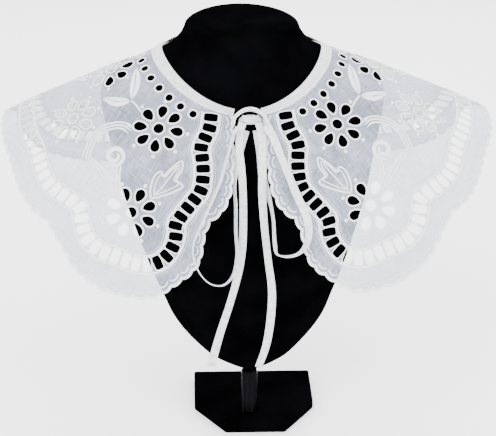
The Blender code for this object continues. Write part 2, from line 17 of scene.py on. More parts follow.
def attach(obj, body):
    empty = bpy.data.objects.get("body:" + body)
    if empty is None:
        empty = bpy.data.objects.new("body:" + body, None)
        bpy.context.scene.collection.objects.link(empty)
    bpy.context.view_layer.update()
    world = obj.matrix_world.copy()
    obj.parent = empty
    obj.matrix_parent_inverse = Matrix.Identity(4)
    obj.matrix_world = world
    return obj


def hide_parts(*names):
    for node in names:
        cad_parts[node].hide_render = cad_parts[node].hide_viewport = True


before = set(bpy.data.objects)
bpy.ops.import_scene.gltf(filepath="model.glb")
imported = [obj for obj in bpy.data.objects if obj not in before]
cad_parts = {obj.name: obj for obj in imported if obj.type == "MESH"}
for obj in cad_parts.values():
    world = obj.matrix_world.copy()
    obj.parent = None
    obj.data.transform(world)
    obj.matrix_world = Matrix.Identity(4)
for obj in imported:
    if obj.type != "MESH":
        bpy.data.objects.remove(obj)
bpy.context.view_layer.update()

# sizes of the solids, in millimetres and degrees
MM = 0.001
SHIFT = np.array([-6.9, -37.8, 6.5])
WALL = 1.2
GAP = 0.3
RING_RADIUS = 85.0
REACH_FULL = 170.0
NECK_MIDDLE_Y = 45.0
NECK_HALF_WIDTH = 77.0
NECK_FRONT_DEPTH = 70.0
NECK_BACK_DEPTH = 62.0
NECK_SIDE_Z = 345.0
NECK_FRONT_DROP = 38.0
NECK_BACK_RISE = 4.0
TIP_REACH = 0.05
SEAM_HALF = 0.5
BINDING_WIDE = 9.6
BINDING_OUTER = 5.0
BINDING_THICK = 1.5
BINDING_END = 9.5
COLLAR_TOP = BINDING_OUTER + 0.9
LADDER_PITCH = 9.6
LADDER_ACROSS = 12.6
LADDER_ALONG = 7.5
PETAL_RING = 16.4
PETAL_LONG = 11.8
PETAL_WIDE = 7.6
FLOWER_EYE = 9.4
NECK_EYELET = 6.8
NECK_EYELET_REACH = 17.0
NECK_EYELET_FIRST = 33.0
NECK_EYELET_STEP = 8.4
NECK_EYELETS = 18
SCALLOP_PITCH = 12.0
SCALLOP_DEEP = 2.4
TIE_WIDE = 7.6
TIE_THICK = 1.2
BUST_LEAN = 4.0
BUST_BOTTOM = 47.0

# finer sizes that only show here
CLOTH_STEP = 3.2
REACH_LONGEST = 196.0
CLOTH_UNDER_TAPE = 1.2
SCALLOP_POINTS = 10
ARC_HIGH = 4.0
ARC_INSET = 7.4
LADDER_RIM = 1.1
ROUND_RIM = 1.6
RIM_HIGH = 0.55
DOT_SIZE = 3.6
DOT_HIGH = 1.0
DOT_RING = 26.5
LEAF_HIGH = 0.9
LEAF_VEIN_HALF = 0.45
ROSE_TURNS = 1.45
STEM_LINES_APART = 3.0
CORD_FROM_EYELETS = 1.7
PINS_FROM_EYELETS = 4.3
PIN_PITCH = 2.1
SEAM_PLACE = 0.22
SEAM_LIFT = 0.62
SEAM_PITCH = 2.3
PUCKER_HIGH = 0.09
BUST_LEAN_UP_TO = 260.0

# width and height of each kind of raised cord
LADDER_CORD = (2.3, 0.75)
HEM_CORD = (2.7, 0.6)
ARC_CORD = (1.3, 0.5)
ROSE_CORD = (4.6, 1.0)
STEM_CORD = (2.0, 0.6)
LOBE_CORD = (1.7, 0.45)
INNER_LOBE_CORD = (1.1, 0.45)
VEIN_CORD = (1.2, 0.45)

# half length, half width and half height of a stitch
PIN_STITCH = (0.55, 0.4, 0.3)
SEAM_STITCH = (0.75, 0.3, 0.24)

# columns: angle round the neck, compass direction from the front, slope at the neck, slope at
# REACH_FULL down from it
DRAPE = np.array([
    (0, 0, 60, 74),
    (30, 34, 47, 76),
    (60, 62, 32, 47),
    (90, 100, 20, 27),
    (120, 114, 35, 54),
    (150, 143, 56, 73),
    (180, 180, 68, 82),
], float)

# columns: angle round the neck, reach, 1 where two lobes meet in a point
HEM = np.array([
    (10.4, 5.9, 1), (9.2, 28, 0), (8.8, 50, 0), (9.2, 74, 0), (12.0, 92, 0), (16.3, 103, 1),
    (17.8, 115, 0), (18.2, 128, 0), (18.8, 140, 0), (20.8, 151, 0), (24.6, 163, 0), (28.4, 175, 0),
    (33.0, 186, 0), (38.5, 192, 0), (44.0, 195, 0), (49.5, 191, 0), (54.0, 181, 0), (58.5, 173.5, 1),
    (61.5, 175.5, 0), (65.0, 175, 0), (69.5, 170.5, 0), (74.3, 166, 1), (80, 165.5, 0), (87, 164, 0),
    (94, 163, 0), (99, 159, 1), (105, 167, 0), (114, 174, 0), (124, 175, 0), (134, 171, 0),
    (142, 162, 1), (150, 171, 0), (160, 175, 0), (170, 174, 0), (180, 170, 1),
], float)

# the same columns, for the middle line of the ladder of eyelets
LADDER = np.array([
    (23.2, 8, 1), (22.2, 23, 0), (23.6, 35, 0), (24.2, 44, 1), (22.2, 53, 0), (20.8, 67, 0),
    (21.0, 80, 0), (23.6, 92, 0), (27.9, 114, 1), (27.0, 123, 0), (27.9, 138, 0), (31.0, 152, 0),
    (36.0, 161, 0), (42.0, 164, 0), (46.5, 166.5, 0), (50.4, 161.5, 0), (54.4, 145, 1), (59.0, 148, 0),
    (64.0, 150, 0), (68.5, 145, 0), (71.3, 141, 1), (76, 140.5, 0), (83, 139, 0), (90, 138, 0),
    (95.5, 134, 1), (101, 141, 0), (110, 148, 0), (120, 150, 0), (130, 146, 0), (138, 137, 1),
    (146, 145, 0), (156, 150, 0), (167, 149, 0), (180, 146, 1),
], float)

# columns: angle round the neck, reach, turn of the first petal in degrees
FLOWERS = np.array([
    (45.4, 45.6, 27),
    (72.3, 97.5, 20),
    (86.4, 47.0, 10),
    (41.7, 122.6, 7),
    (132, 98, 10),
], float)

# columns: angle and reach of the leaf's foot, angle and reach of its tip, width in mm, bend in mm
SATIN_LEAVES = np.array([
    (63.5, 43.0, 79.0, 23.5, 9.5, 2.0),
    (63.5, 45.0, 71.9, 63.5, 9.5, -2.2),
    (97.0, 86.0, 86.0, 74.0, 7.0, 1.5),
    (112.0, 47.0, 99.0, 30.0, 9.0, -2.0),
    (112.0, 49.0, 106.0, 66.0, 9.0, 2.0),
    (152.0, 74.0, 160.0, 52.0, 9.0, 2.0),
    (154.0, 78.0, 170.0, 70.0, 9.0, -2.0),
], float)

# columns: angle and reach of a lobed leaf's foot, angle and reach of its tip, 1 or -1 for the
# side of its long lobe
LOBED_LEAVES = np.array([
    (37.4, 103.0, 30.5, 60.0, 1),
    (46.8, 117.0, 58.6, 106.5, -1),
    (127.0, 122.0, 112.0, 112.0, 1),
    (138.0, 120.0, 154.0, 112.0, -1),
], float)

# columns: part of the leaf's length along it, part of its length to the side of its long lobe
LOBED_EDGE = np.array([
    (0.0, 0.0), (0.1, -0.1), (0.25, -0.18), (0.42, -0.23), (0.56, -0.19), (0.52, -0.09),
    (0.76, -0.065), (1.0, 0.0), (0.84, 0.12), (0.62, 0.16), (0.61, 0.35), (0.38, 0.27),
    (0.155, 0.13), (0.0, 0.0),
], float)

# columns: angle and reach of a rose's middle, its radius, its turn in degrees
ROSES = np.array([
    (53.8, 90.5, 9.4, -13),
    (143.4, 96.0, 9.4, 167),
], float)

# each stem as rows of angle and reach, and how many lines run side by side
STEMS = [
    ([(60.5, 111), (62.6, 96), (63.0, 82), (60.6, 70), (57.6, 64.5), (54.6, 63.8)], 3),
    ([(51.0, 94), (49.6, 103), (47.6, 112)], 2),
    ([(60.8, 108), (56, 108), (51.5, 112), (47.4, 117)], 2),
    ([(63.5, 44), (60, 43.5), (56.2, 44.6)], 1),
    ([(112, 48), (117, 54), (121, 64), (125, 76)], 1),
    ([(144, 102), (141, 112), (138, 120)], 2),
    ([(153, 76), (149, 80), (146, 84)], 1),
]

# columns: angle and reach of both ends of a soft crease, its width and its height, minus for a
# trough
CREASES = np.array([
    (20, 12, 17, 96, 6.0, -0.8), (34, 9, 31, 70, 9.0, 0.9),
    (52, 9, 50, 60, 8.0, -0.8), (66, 10, 70, 95, 13.0, 1.2),
    (83, 12, 79, 120, 12.0, -1.3), (60, 120, 57, 170, 9.0, 1.5),
    (47, 150, 45, 192, 9.0, -1.3), (33, 140, 31, 184, 8.0, 1.1),
    (69, 128, 72, 168, 8.0, -1.2), (94, 14, 97, 140, 14.0, 1.5),
    (109, 12, 116, 130, 15.0, -1.5), (88, 120, 90, 164, 8.0, 1.0),
    (126, 40, 128, 172, 14.0, 1.8), (139, 20, 142, 160, 13.0, -1.6),
    (155, 60, 158, 174, 15.0, 1.7), (171, 30, 173, 172, 13.0, -1.5),
], float)

# columns: half width, front y, back y, height at the side, at the front, at the back, squareness
BUST = np.array([
    (9.0, -7.0, 9.0, 47.0, 47.0, 47.0, 2.0),
    (17.0, -10.0, 15.0, 49.0, 48.6, 49.0, 2.0),
    (30.0, -16.0, 20.0, 55.5, 54.0, 55.0, 2.0),
    (41.0, -20.5, 23.0, 63.5, 61.0, 62.0, 2.1),
    (58.0, -27.0, 28.0, 82.0, 78.0, 80.0, 2.1),
    (71.0, -33.0, 33.0, 102.0, 95.0, 99.0, 2.2),
    (80.0, -38.0, 39.0, 124.0, 114.0, 121.0, 2.2),
    (91.0, -42.5, 47.0, 152.0, 138.0, 148.0, 2.3),
    (103.0, -46.0, 58.0, 188.0, 168.0, 183.0, 2.3),
    (112.0, -48.0, 68.0, 218.0, 192.0, 212.0, 2.3),
    (118.0, -48.5, 77.0, 247.0, 213.0, 240.0, 2.3),
    (124.0, -48.0, 86.0, 274.0, 231.0, 265.0, 2.3),
    (128.5, -46.5, 93.0, 294.0, 245.0, 283.0, 2.2),
    (130.0, -44.5, 98.0, 307.0, 256.0, 297.0, 2.2),
    (127.5, -42.0, 101.5, 317.0, 266.0, 308.0, 2.1),
    (120.0, -37.5, 103.5, 324.0, 276.0, 318.0, 2.1),
    (107.0, -31.5, 104.5, 330.0, 286.0, 328.0, 2.0),
    (92.0, -25.0, 104.8, 336.5, 295.5, 338.0, 2.0),
    (77.0, -17.5, 104.0, 342.6, 301.6, 346.8, 2.0),
    (68.0, -13.5, 102.0, 347.6, 309.0, 352.0, 2.0),
    (62.5, -11.0, 100.2, 352.0, 321.0, 356.6, 2.0),
    (57.5, -9.0, 98.6, 357.4, 335.0, 361.4, 2.0),
    (54.0, -8.0, 97.5, 363.0, 351.0, 367.0, 2.0),
    (51.6, -6.0, 96.6, 369.0, 362.5, 373.6, 2.0),
    (49.6, -4.0, 94.6, 370.6, 364.6, 375.4, 2.0),
], float)

# columns: angle round the neck, slope of the binding
BINDING_SLOPE = np.array([
    (0, 14),
    (30, 18),
    (60, 22),
    (90, 23),
    (120, 32),
    (150, 46),
    (180, 55),
], float)

# columns: x, y, z of the middle line, then the direction of the tie's width
TAIL_LEFT = np.array([
    (-6.0, -36.6, 299.0, 1.0, 0.0, 0.1), (-8.6, -41.5, 291.5, 0.96, -0.2, 0.1),
    (-10.0, -51.0, 280.7, 0.95, -0.3, 0.0), (-8.2, -55.5, 259.3, 0.95, -0.3, 0.0),
    (-7.1, -55.5, 236.8, 0.85, -0.5, 0.0), (-7.1, -54.5, 206.4, 0.85, -0.5, 0.0),
    (-8.0, -54.0, 185.4, 0.9, -0.45, 0.05), (-11.7, -54.0, 161.4, 0.98, -0.1, -0.15),
    (-19.4, -54.0, 132.5, 0.96, 0.0, -0.25), (-28.2, -54.0, 104.3, 0.96, 0.1, -0.25),
    (-36.6, -54.0, 72.7, 0.97, 0.15, -0.2),
], float)
TAIL_RIGHT = np.array([
    (8.2, -36.8, 298.6, 1.0, 0.0, -0.1), (10.2, -43.0, 290.8, 0.96, 0.2, 0.0),
    (10.4, -52.0, 278.3, 0.97, 0.2, 0.0), (10.0, -55.5, 258.7, 0.97, 0.2, 0.0),
    (10.0, -55.5, 236.3, 0.93, 0.3, 0.0), (12.2, -54.0, 205.8, 0.95, 0.3, 0.1),
    (15.4, -54.0, 176.0, 0.98, 0.2, 0.1), (19.1, -54.0, 144.8, 0.98, 0.1, 0.0),
    (17.9, -54.0, 116.4, 0.97, 0.15, -0.1), (13.9, -54.0, 90.8, 0.96, 0.2, -0.2),
    (7.0, -54.0, 70.0, 0.95, 0.2, -0.3),
], float)
LOOP_LEFT = np.array([
    (-11.2, -45.6, 298.0, 0.3, -0.94, 0.1), (-15.6, -47.0, 290.0, 0.2, -0.95, 0.2),
    (-18.6, -51.0, 280.0, 0.2, -0.9, 0.3), (-22.9, -57.5, 267.9, 0.25, -0.9, 0.35),
    (-27.8, -63.8, 254.2, 0.3, -0.88, 0.35), (-36.3, -71.8, 237.5, 0.3, -0.87, 0.35),
    (-45.7, -79.2, 219.7, 0.25, -0.87, 0.35), (-52.7, -84.2, 205.6, 0.1, -0.9, 0.35),
    (-53.5, -88.2, 193.1, 0.0, -0.9, 0.35), (-48.6, -91.4, 179.5, 0.0, -0.93, 0.3),
    (-39.3, -91.6, 169.1, 0.0, -0.95, 0.3), (-27.2, -85.0, 164.7, 0.0, -0.95, 0.3),
    (-17.6, -74.0, 169.6, 0.1, -0.95, 0.2), (-12.9, -62.0, 183.8, 0.3, -0.93, 0.1),
    (-13.6, -55.0, 202.3, 0.3, -0.95, 0.0), (-13.6, -54.0, 227.2, 0.3, -0.95, 0.0),
    (-14.4, -52.0, 250.0, 0.3, -0.95, 0.0), (-9.8, -43.8, 273.0, 1.0, 0.0, 0.0),
    (-3.2, -35.2, 291.4, 1.0, 0.0, 0.0),
], float)
LOOP_RIGHT = np.array([
    (14.6, -44.6, 298.2, 0.9, 0.2, 0.35), (19.2, -50.0, 290.7, 0.9, 0.0, 0.4),
    (25.4, -55.5, 275.6, 0.9, -0.1, 0.45), (32.5, -62.5, 258.1, 0.88, 0.0, 0.5),
    (40.6, -68.0, 238.2, 0.85, 0.1, 0.5), (47.2, -74.0, 223.3, 0.85, -0.1, 0.4),
    (49.0, -80.5, 210.6, 0.7, -0.65, 0.2), (45.6, -86.0, 199.5, 0.5, -0.85, 0.1),
    (38.2, -87.0, 192.6, 0.2, -0.95, 0.2), (28.8, -81.0, 188.4, 0.1, -0.97, 0.2),
    (21.8, -72.0, 188.4, 0.2, -0.96, 0.2), (20.4, -61.0, 196.5, 0.3, -0.95, 0.1),
    (20.0, -55.5, 212.5, 0.3, -0.95, 0.0), (17.0, -52.0, 230.0, 0.5, -0.86, 0.0),
    (11.2, -49.0, 250.0, 1.0, 0.0, 0.0), (9.4, -45.0, 273.0, 1.0, 0.0, 0.0),
    (6.8, -35.4, 291.4, 1.0, 0.0, 0.0),
], float)
KNOT = np.array([
    (-15.2, -37.6, 297.5, 0.1, -0.9, 0.4), (-12.6, -36.5, 304.5, 0.1, -0.9, 0.4),
    (-4.5, -34.5, 309.8, 0.0, -0.9, 0.45), (4.5, -35.0, 310.4, 0.0, -0.9, 0.45),
    (12.8, -36.6, 305.4, -0.1, -0.9, 0.4), (17.0, -38.4, 297.2, -0.1, -0.9, 0.4),
], float)


# Camera, floor, light

def set_camera():
    """Camera at the photo's angle, whose back direction follows from azimuth and elevation."""
    azimuth, elevation, distance = np.radians(-4.9), np.radians(20.0), 1750.0
    target = np.array([2.0, 0.0, 196.0]) + SHIFT
    level = np.cos(elevation)
    back = np.array([np.sin(azimuth) * level, -np.cos(azimuth) * level, np.sin(elevation)])
    right = np.array([np.cos(azimuth), np.sin(azimuth), 0.0])
    turn = np.eye(4)
    turn[:3, :3] = np.stack([right, np.cross(back, right), back], -1)
    turn[:3, 3] = (target + distance * back) * MM
    data = bpy.data.cameras.new("camera")
    focal_length, image_width = 1901.0, 496.0
    data.sensor_width = 36.0
    data.lens = 36.0 * focal_length / image_width
    data.dof.use_dof = False
    camera = bpy.data.objects.new("camera", data)
    camera.matrix_world = Matrix(turn.tolist())
    bpy.context.scene.collection.objects.link(camera)
    bpy.context.scene.camera = camera


def add_light(name, place, target, size, watts, colour=(1, 1, 1)):
    """Square area light at a place, turned towards a target, metres."""
    data = bpy.data.lights.new(name, "AREA")
    data.shape = "SQUARE"
    data.size = size
    data.energy = watts
    data.color = colour
    lamp = bpy.data.objects.new(name, data)
    lamp.location = place
    lamp.rotation_euler = (Vector(target) - Vector(place)).to_track_quat("-Z", "Y").to_euler()
    bpy.context.scene.collection.objects.link(lamp)


def set_stage():
    """White floor and surroundings, and soft lamps: high at the left, at the right and behind."""
    world = bpy.data.worlds.new("studio")
    world.use_nodes = True
    around = world.node_tree.nodes["Background"]
    around.inputs["Color"].default_value = (1.0, 1.0, 1.0, 1)
    around.inputs["Strength"].default_value = 3.3
    bpy.context.scene.world = world
    add_light("key", (-0.7, -1.5, 1.5), (0, 0, 0.22), 1.2, 62.0)
    add_light("fill", (1.2, -1.2, 0.9), (0, 0, 0.2), 1.0, 24.0, (0.97, 0.98, 1.0))
    add_light("rear", (0.2, 1.3, 1.3), (0, 0, 0.2), 1.2, 26.0)
    mesh = bpy.data.meshes.new("floor")
    mesh.from_pydata([(-6, -6, 0), (6, -6, 0), (6, 6, 0), (-6, 6, 0)], [], [(0, 1, 2, 3)])
    floor = bpy.data.objects.new("floor", mesh)
    bpy.context.scene.collection.objects.link(floor)
    floor.data.materials.append(plain_white())


def plain_white():
    """Pale floor with a very faint unevenness."""
    material, shader, nodes, links = new_material("floor_white")
    noise = nodes.new("ShaderNodeTexNoise")
    noise.inputs["Scale"].default_value = 3.0
    tone = mix_colour(nodes, links, noise.outputs["Fac"], (0.93, 0.93, 0.93), (0.95, 0.95, 0.95))
    links.new(tone, shader.inputs["Base Color"])
    shader.inputs["Roughness"].default_value = 0.9
    return material


# The cloth's formula

def cubic(rows, row, part):
    """Cubic through four rows, at this part of the way from the second to the third."""
    before, here, after, beyond = rows[row], rows[row + 1], rows[row + 2], rows[row + 3]
    bend = 2 * before - 5 * here + 4 * after - beyond
    twist = beyond - before + 3 * (here - after)
    return here + 0.5 * part * (after - before + part * (bend + part * twist))


def smooth_table(angle, table):
    """Rows of a table at these angles: a cubic through rows whose first column steps evenly."""
    step = table[1, 0] - table[0, 0]
    place = np.clip(np.abs(angle) / step, 0, len(table) - 1 - 1e-9)
    row = place.astype(int)
    part = (place - row)[..., None]
    rows = np.vstack([2 * table[0] - table[1], table, 2 * table[-1] - table[-2]])[:, 1:]
    return cubic(rows, row, part)


def neck_edge(angle):
    """Point of the neck edge: two half ellipses, dropping towards the front."""
    turn = np.radians(angle)
    ahead = np.cos(turn)
    depth = np.where(ahead > 0, NECK_FRONT_DEPTH, NECK_BACK_DEPTH)
    drop = NECK_FRONT_DROP * np.clip(ahead, 0, None) ** 1.6
    rise = NECK_BACK_RISE * np.clip(-ahead, 0, None) ** 2
    height = NECK_SIDE_Z - drop + rise
    return np.stack([NECK_HALF_WIDTH * np.sin(turn), NECK_MIDDLE_Y - depth * ahead, height], -1)


def drape(angle, reach):
    """Point of the right half's middle surface: a line of reach is an arc in an upright plane."""
    angle, reach = np.broadcast_arrays(np.asarray(angle, float), np.asarray(reach, float))
    direction, slope, slope_out = np.moveaxis(np.radians(smooth_table(angle, DRAPE)), -1, 0)
    bend = (slope_out - slope) / REACH_FULL
    out = (np.sin(slope + bend * reach) - np.sin(slope)) / bend
    down = (np.cos(slope) - np.cos(slope + bend * reach)) / bend
    fall = np.stack([out * np.sin(direction), -out * np.cos(direction), -down], -1)
    return neck_edge(angle) + fall


def run_length(points):
    """Length to each point of a line."""
    return np.concatenate([[0], np.cumsum(np.linalg.norm(np.diff(points, axis=0), axis=1))])


ANGLES = np.linspace(0, 180, 721)
EDGE_LENGTHS = run_length(neck_edge(ANGLES))


def to_flat(angle, reach):
    """Point of the flat pattern, from angle and reach."""
    turn = np.interp(angle, ANGLES, EDGE_LENGTHS) / RING_RADIUS
    radius = RING_RADIUS + np.asarray(reach, float)
    return np.stack([radius * np.cos(turn), radius * np.sin(turn)], -1)


def flat_reach(flat):
    """Reach of a point of the flat pattern: how far it lies outside the ring's inner circle."""
    return np.hypot(flat[..., 0], flat[..., 1]) - RING_RADIUS


def from_flat(flat):
    """Angle and reach, from a point of the flat pattern."""
    turn = np.arctan2(flat[..., 1], flat[..., 0])
    turn = np.where(turn < -0.5, turn + 2 * np.pi, turn)
    return np.interp(turn * RING_RADIUS, EDGE_LENGTHS, ANGLES), flat_reach(flat)


def hang(flat, side=0):
    """Point in space of a point of the flat pattern. The right tip reaches a little further."""
    angle, reach = from_flat(flat)
    tip = side * TIP_REACH * np.exp(-(((angle - 90) / 22) ** 2)) * np.clip(reach / 165, 0, 1) ** 0.5
    return drape(angle, reach * (1 + tip))


def unit(vector):
    """Vector of length 1 along the last axis."""
    return vector / np.maximum(np.linalg.norm(vector, axis=-1, keepdims=True), 1e-9)


def grow_and_facing(flat, side=0):
    """How space moves for each step in the flat pattern, and the cloth's outward facing."""
    steps = 0.5 * np.eye(2)
    grow = np.stack([hang(flat + step, side) - hang(flat - step, side) for step in steps], -1)
    facing = unit(np.cross(grow[..., 0], grow[..., 1]))
    return grow, facing * np.where(facing[..., 2:] < 0, -1.0, 1.0)


def crease_height(flat):
    """Sum of soft troughs and ridges: a bell across each crease's line that fades at both ends."""
    start, end = to_flat(CREASES[:, 0], CREASES[:, 1]), to_flat(CREASES[:, 2], CREASES[:, 3])
    line = end - start
    length = np.linalg.norm(line, axis=1)
    away = flat[..., None, :] - start
    along = np.einsum("...ki,ki->...k", away, line) / length**2
    across = (away[..., 0] * line[:, 1] - away[..., 1] * line[:, 0]) / length
    bow = 0.12 * length * np.sin(np.pi * np.clip(along, 0, 1)) * np.sign(CREASES[:, 5]) * 0.4
    across = across + bow
    fade = np.clip(np.minimum(along, 1.12 - along) * 4, 0, 1)
    fade = fade * fade * (3 - 2 * fade)
    height = (CREASES[:, 5] * fade * np.exp(-((across / CREASES[:, 4]) ** 2))).sum(-1)
    ripple = 0.45 * np.sin(flat[..., 0] / 11.0 + 2.1 * np.sin(flat[..., 1] / 31.0))
    return height + ripple * np.clip((flat_reach(flat) - 60) / 110, 0, 1)


def lie(flat, side, lift=0.0):
    """Point on one half's creased cloth, lifted off it along its facing, and that facing."""
    _, facing = grow_and_facing(flat, side)
    height = crease_height(flat) * np.clip((flat_reach(flat) - 6) / 12, 0, 1) + lift
    point = hang(flat, side) + facing * height[..., None]
    point[..., 0] = np.maximum(point[..., 0], SEAM_HALF)
    return point * [side, 1, 1], facing * [side, 1, 1]


def place_figure(centre, heading, figure):
    """Pattern points of figures drawn true to size on the hanging cloth, round their centres."""
    grow = np.stack([(hang(centre + step) - hang(centre - step)) for step in 0.5 * np.eye(2)], -1)
    along = unit(np.einsum("...ij,...j->...i", grow, heading))
    facing = unit(np.cross(grow[..., 0], grow[..., 1]))
    across = np.cross(facing, along)
    offset = figure[..., :1] * along[..., None, :] + figure[..., 1:] * across[..., None, :]
    return centre[..., None, :] + np.einsum("...ij,...kj->...ki", np.linalg.pinv(grow), offset)


def smooth_rows(rows, steps):
    """A cubic through the rows of a table, with this many points between two rows."""
    part = np.linspace(0, len(rows) - 1, steps * (len(rows) - 1) + 1)
    row = np.minimum(part.astype(int), len(rows) - 2)
    part = (part - row).reshape((-1,) + (1,) * (rows.ndim - 1))
    padded = np.concatenate([2 * rows[:1] - rows[1:2], rows, 2 * rows[-1:] - rows[-2:-1]])
    return cubic(padded, row, part)


def at_lengths(marks, length, points):
    """Points of a line at these lengths along it."""
    return np.stack([np.interp(marks, length, points[:, i]) for i in range(points.shape[1])], -1)


def trace(table):
    """Runs of angle and reach, 1 mm apart: a cubic through the rows, broken where lobes meet."""
    runs = []
    ends = np.flatnonzero(table[:, 2])
    for first, last in zip(ends[:-1], ends[1:]):
        run = smooth_rows(table[first : last + 1, :2], 40)
        length = run_length(drape(run[:, 0], run[:, 1]))
        steps = max(2, round(length[-1]))
        runs.append(at_lengths(np.linspace(0, length[-1], steps + 1), length, run))
    return runs


def headings(line):
    """Unit direction at each point of a line."""
    return unit(np.gradient(line, axis=0))


# Holes and lines in the flat pattern

def ladder_places():
    """Middle and heading of each ladder eyelet, evenly along the ladder's middle line."""
    line = np.concatenate(trace(LADDER))
    length = run_length(drape(line[:, 0], line[:, 1]))
    count = int(length[-1] / LADDER_PITCH)
    marks = (np.arange(count) + 0.5) * length[-1] / count
    centre = at_lengths(marks, length, to_flat(line[:, 0], line[:, 1]))
    return centre, headings(centre)


def ladder_figure(grow=0.0):
    """Rounded rectangle of 24 points: a circle pushed out to the power that squares it."""
    turn = 2 * np.pi * (np.arange(24) + 0.5) / 24
    shape = (np.abs(np.cos(turn)) ** 5 + np.abs(np.sin(turn)) ** 5) ** -0.2
    half = np.array([LADDER_ALONG / 2 + grow, LADDER_ACROSS / 2 + grow])
    return np.stack([np.cos(turn), np.sin(turn)], -1) * shape[:, None] * half


def petal_figure(turn, grow=0.0):
    """Petal of 20 points: an ellipse, narrower towards the middle of the flower."""
    round_it = 2 * np.pi * np.arange(20) / 20
    out = PETAL_RING + (PETAL_LONG / 2 + grow) * np.cos(round_it)
    swell = 1 + 0.28 * np.cos(round_it - 0.25 * np.sin(round_it))
    across = (PETAL_WIDE / 2 + grow) * np.sin(round_it) * swell
    across = across * (1 - 0.12 * np.cos(round_it) ** 6)
    x = out * np.cos(turn) - across * np.sin(turn)
    y = out * np.sin(turn) + across * np.cos(turn)
    return np.stack([x, y], -1)


def round_figure(size, sides, middle=(0.0, 0.0)):
    """Circle of this size across."""
    turn = 2 * np.pi * (np.arange(sides) + 0.5) / sides
    return np.stack([np.cos(turn), np.sin(turn)], -1) * size / 2 + middle


def hole_loops(grow=0.0):
    """Closed lines of every eyelet, grown outwards, in three groups: ladder, petals, round."""
    centre, heading = ladder_places()
    figure = np.broadcast_to(ladder_figure(grow), (len(centre), 24, 2))
    ladder = place_figure(centre, heading, figure)
    petals, rounds = [], []
    for angle, reach, turn in FLOWERS:
        middle = to_flat(angle, reach)
        heading = to_flat(angle, reach + 1) - middle
        for way in np.radians(turn + 45 * np.arange(8)):
            petals.append(place_figure(middle, heading, petal_figure(way, grow)))
        rounds.append(place_figure(middle, heading, round_figure(FLOWER_EYE + 2 * grow, 20)))
    angle = NECK_EYELET_FIRST + NECK_EYELET_STEP * np.arange(NECK_EYELETS)
    middle = to_flat(angle, NECK_EYELET_REACH)
    heading = to_flat(angle, NECK_EYELET_REACH + 1) - middle
    figure = np.broadcast_to(round_figure(NECK_EYELET + 2 * grow, 20), (NECK_EYELETS, 20, 2))
    neck = place_figure(middle, heading, figure)
    return ladder, np.array(petals), np.concatenate([np.array(rounds), neck])


def hem_line():
    """The scalloped hem in the flat pattern, and the arcs inside its scallops.

    Each scallop bulges outwards by a power of the sine of the place along it, and its arc is a
    shallower one of the same kind, set in from the hem.
    """
    line, arcs = [], []
    for run in trace(HEM):
        flat = to_flat(run[:, 0], run[:, 1])
        length = run_length(drape(run[:, 0], run[:, 1]))
        count = max(1, round(length[-1] / SCALLOP_PITCH))
        place = np.linspace(0, count, SCALLOP_POINTS * count + 1)
        points = at_lengths(place * length[-1] / count, length, flat)
        heading = headings(points)
        out = np.stack([-heading[:, 1], heading[:, 0]], -1)
        out = out * np.sign(np.sum(out * points, axis=1).mean())
        bulge = np.abs(np.sin(np.pi * place)) ** 0.75 - 0.5
        line.append((points + out * (SCALLOP_DEEP * bulge)[:, None])[:-1])
        part = np.linspace(0.1, 0.9, 9)
        marks = (np.arange(count)[:, None] + part) * length[-1] / count
        turned = at_lengths(marks, place * length[-1] / count, out)
        height = ARC_HIGH * np.sin(np.pi * part) ** 0.8 - ARC_INSET
        arcs.append(at_lengths(marks, length, flat) + turned * height[:, None])
    line.append(to_flat(180, HEM[-1, 1])[None])
    return np.concatenate(line), np.concatenate(arcs)


def side_line(away):
    """Line at this distance from the ladder's middle line. What comes nearer to it is left out."""
    runs = [to_flat(run[:, 0], run[:, 1]) for run in trace(LADDER)]
    middle = np.concatenate(runs)
    moved = []
    for run in runs:
        heading = headings(run)
        moved.append(place_figure(run, heading, np.full((len(run), 1, 2), (0.0, away)))[:, 0])
    moved = np.concatenate(moved)
    near = np.concatenate([
        np.linalg.norm(part[:, None] - middle[None], axis=-1).min(axis=1)
        for part in np.array_split(moved, 12)
    ])
    line = moved[near > 0.9 * np.abs(away) * np.percentile(near / np.abs(away), 40)]
    length = run_length(line)
    line = at_lengths(np.linspace(0, length[-1], int(length[-1] / 1.5)), length, line)
    return line[flat_reach(line) > COLLAR_TOP + 0.5]


# Meshes

def make_piece(name, points, faces, uv, material):
    """Object from points in millimetres, face arrays, a UV for each point and a material."""
    mesh = bpy.data.meshes.new(name)
    corners = np.concatenate([group.ravel() for group in faces]).astype(np.int32)
    sizes = np.concatenate([np.full(len(group), group.shape[1], np.int32) for group in faces])
    mesh.vertices.add(len(points))
    metres = (np.asarray(points, float) + SHIFT) * MM
    mesh.vertices.foreach_set("co", metres.astype(np.float32).ravel())
    mesh.loops.add(len(corners))
    mesh.loops.foreach_set("vertex_index", corners)
    mesh.polygons.add(len(sizes))
    starts = np.concatenate([[0], np.cumsum(sizes)[:-1]])
    mesh.polygons.foreach_set("loop_start", starts.astype(np.int32))
    mesh.update(calc_edges=True)
    layer = mesh.uv_layers.new(name="UVMap")
    layer.data.foreach_set("uv", np.asarray(uv, np.float32)[corners].ravel())
    mesh.polygons.foreach_set("use_smooth", np.ones(len(sizes), bool))
    mesh.materials.append(material)
    mesh.validate()
    made = bpy.data.objects.new(name, mesh)
    bpy.context.scene.collection.objects.link(made)
    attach(made, "root")
    return made


def join(parts):
    """One set of points, faces and UVs from several."""
    points, faces, uvs, start = [], [], [], 0
    for part_points, part_faces, part_uv in parts:
        points.append(part_points)
        uvs.append(part_uv)
        faces += [group + start for group in part_faces]
        start += len(part_points)
    return np.concatenate(points), faces, np.concatenate(uvs)


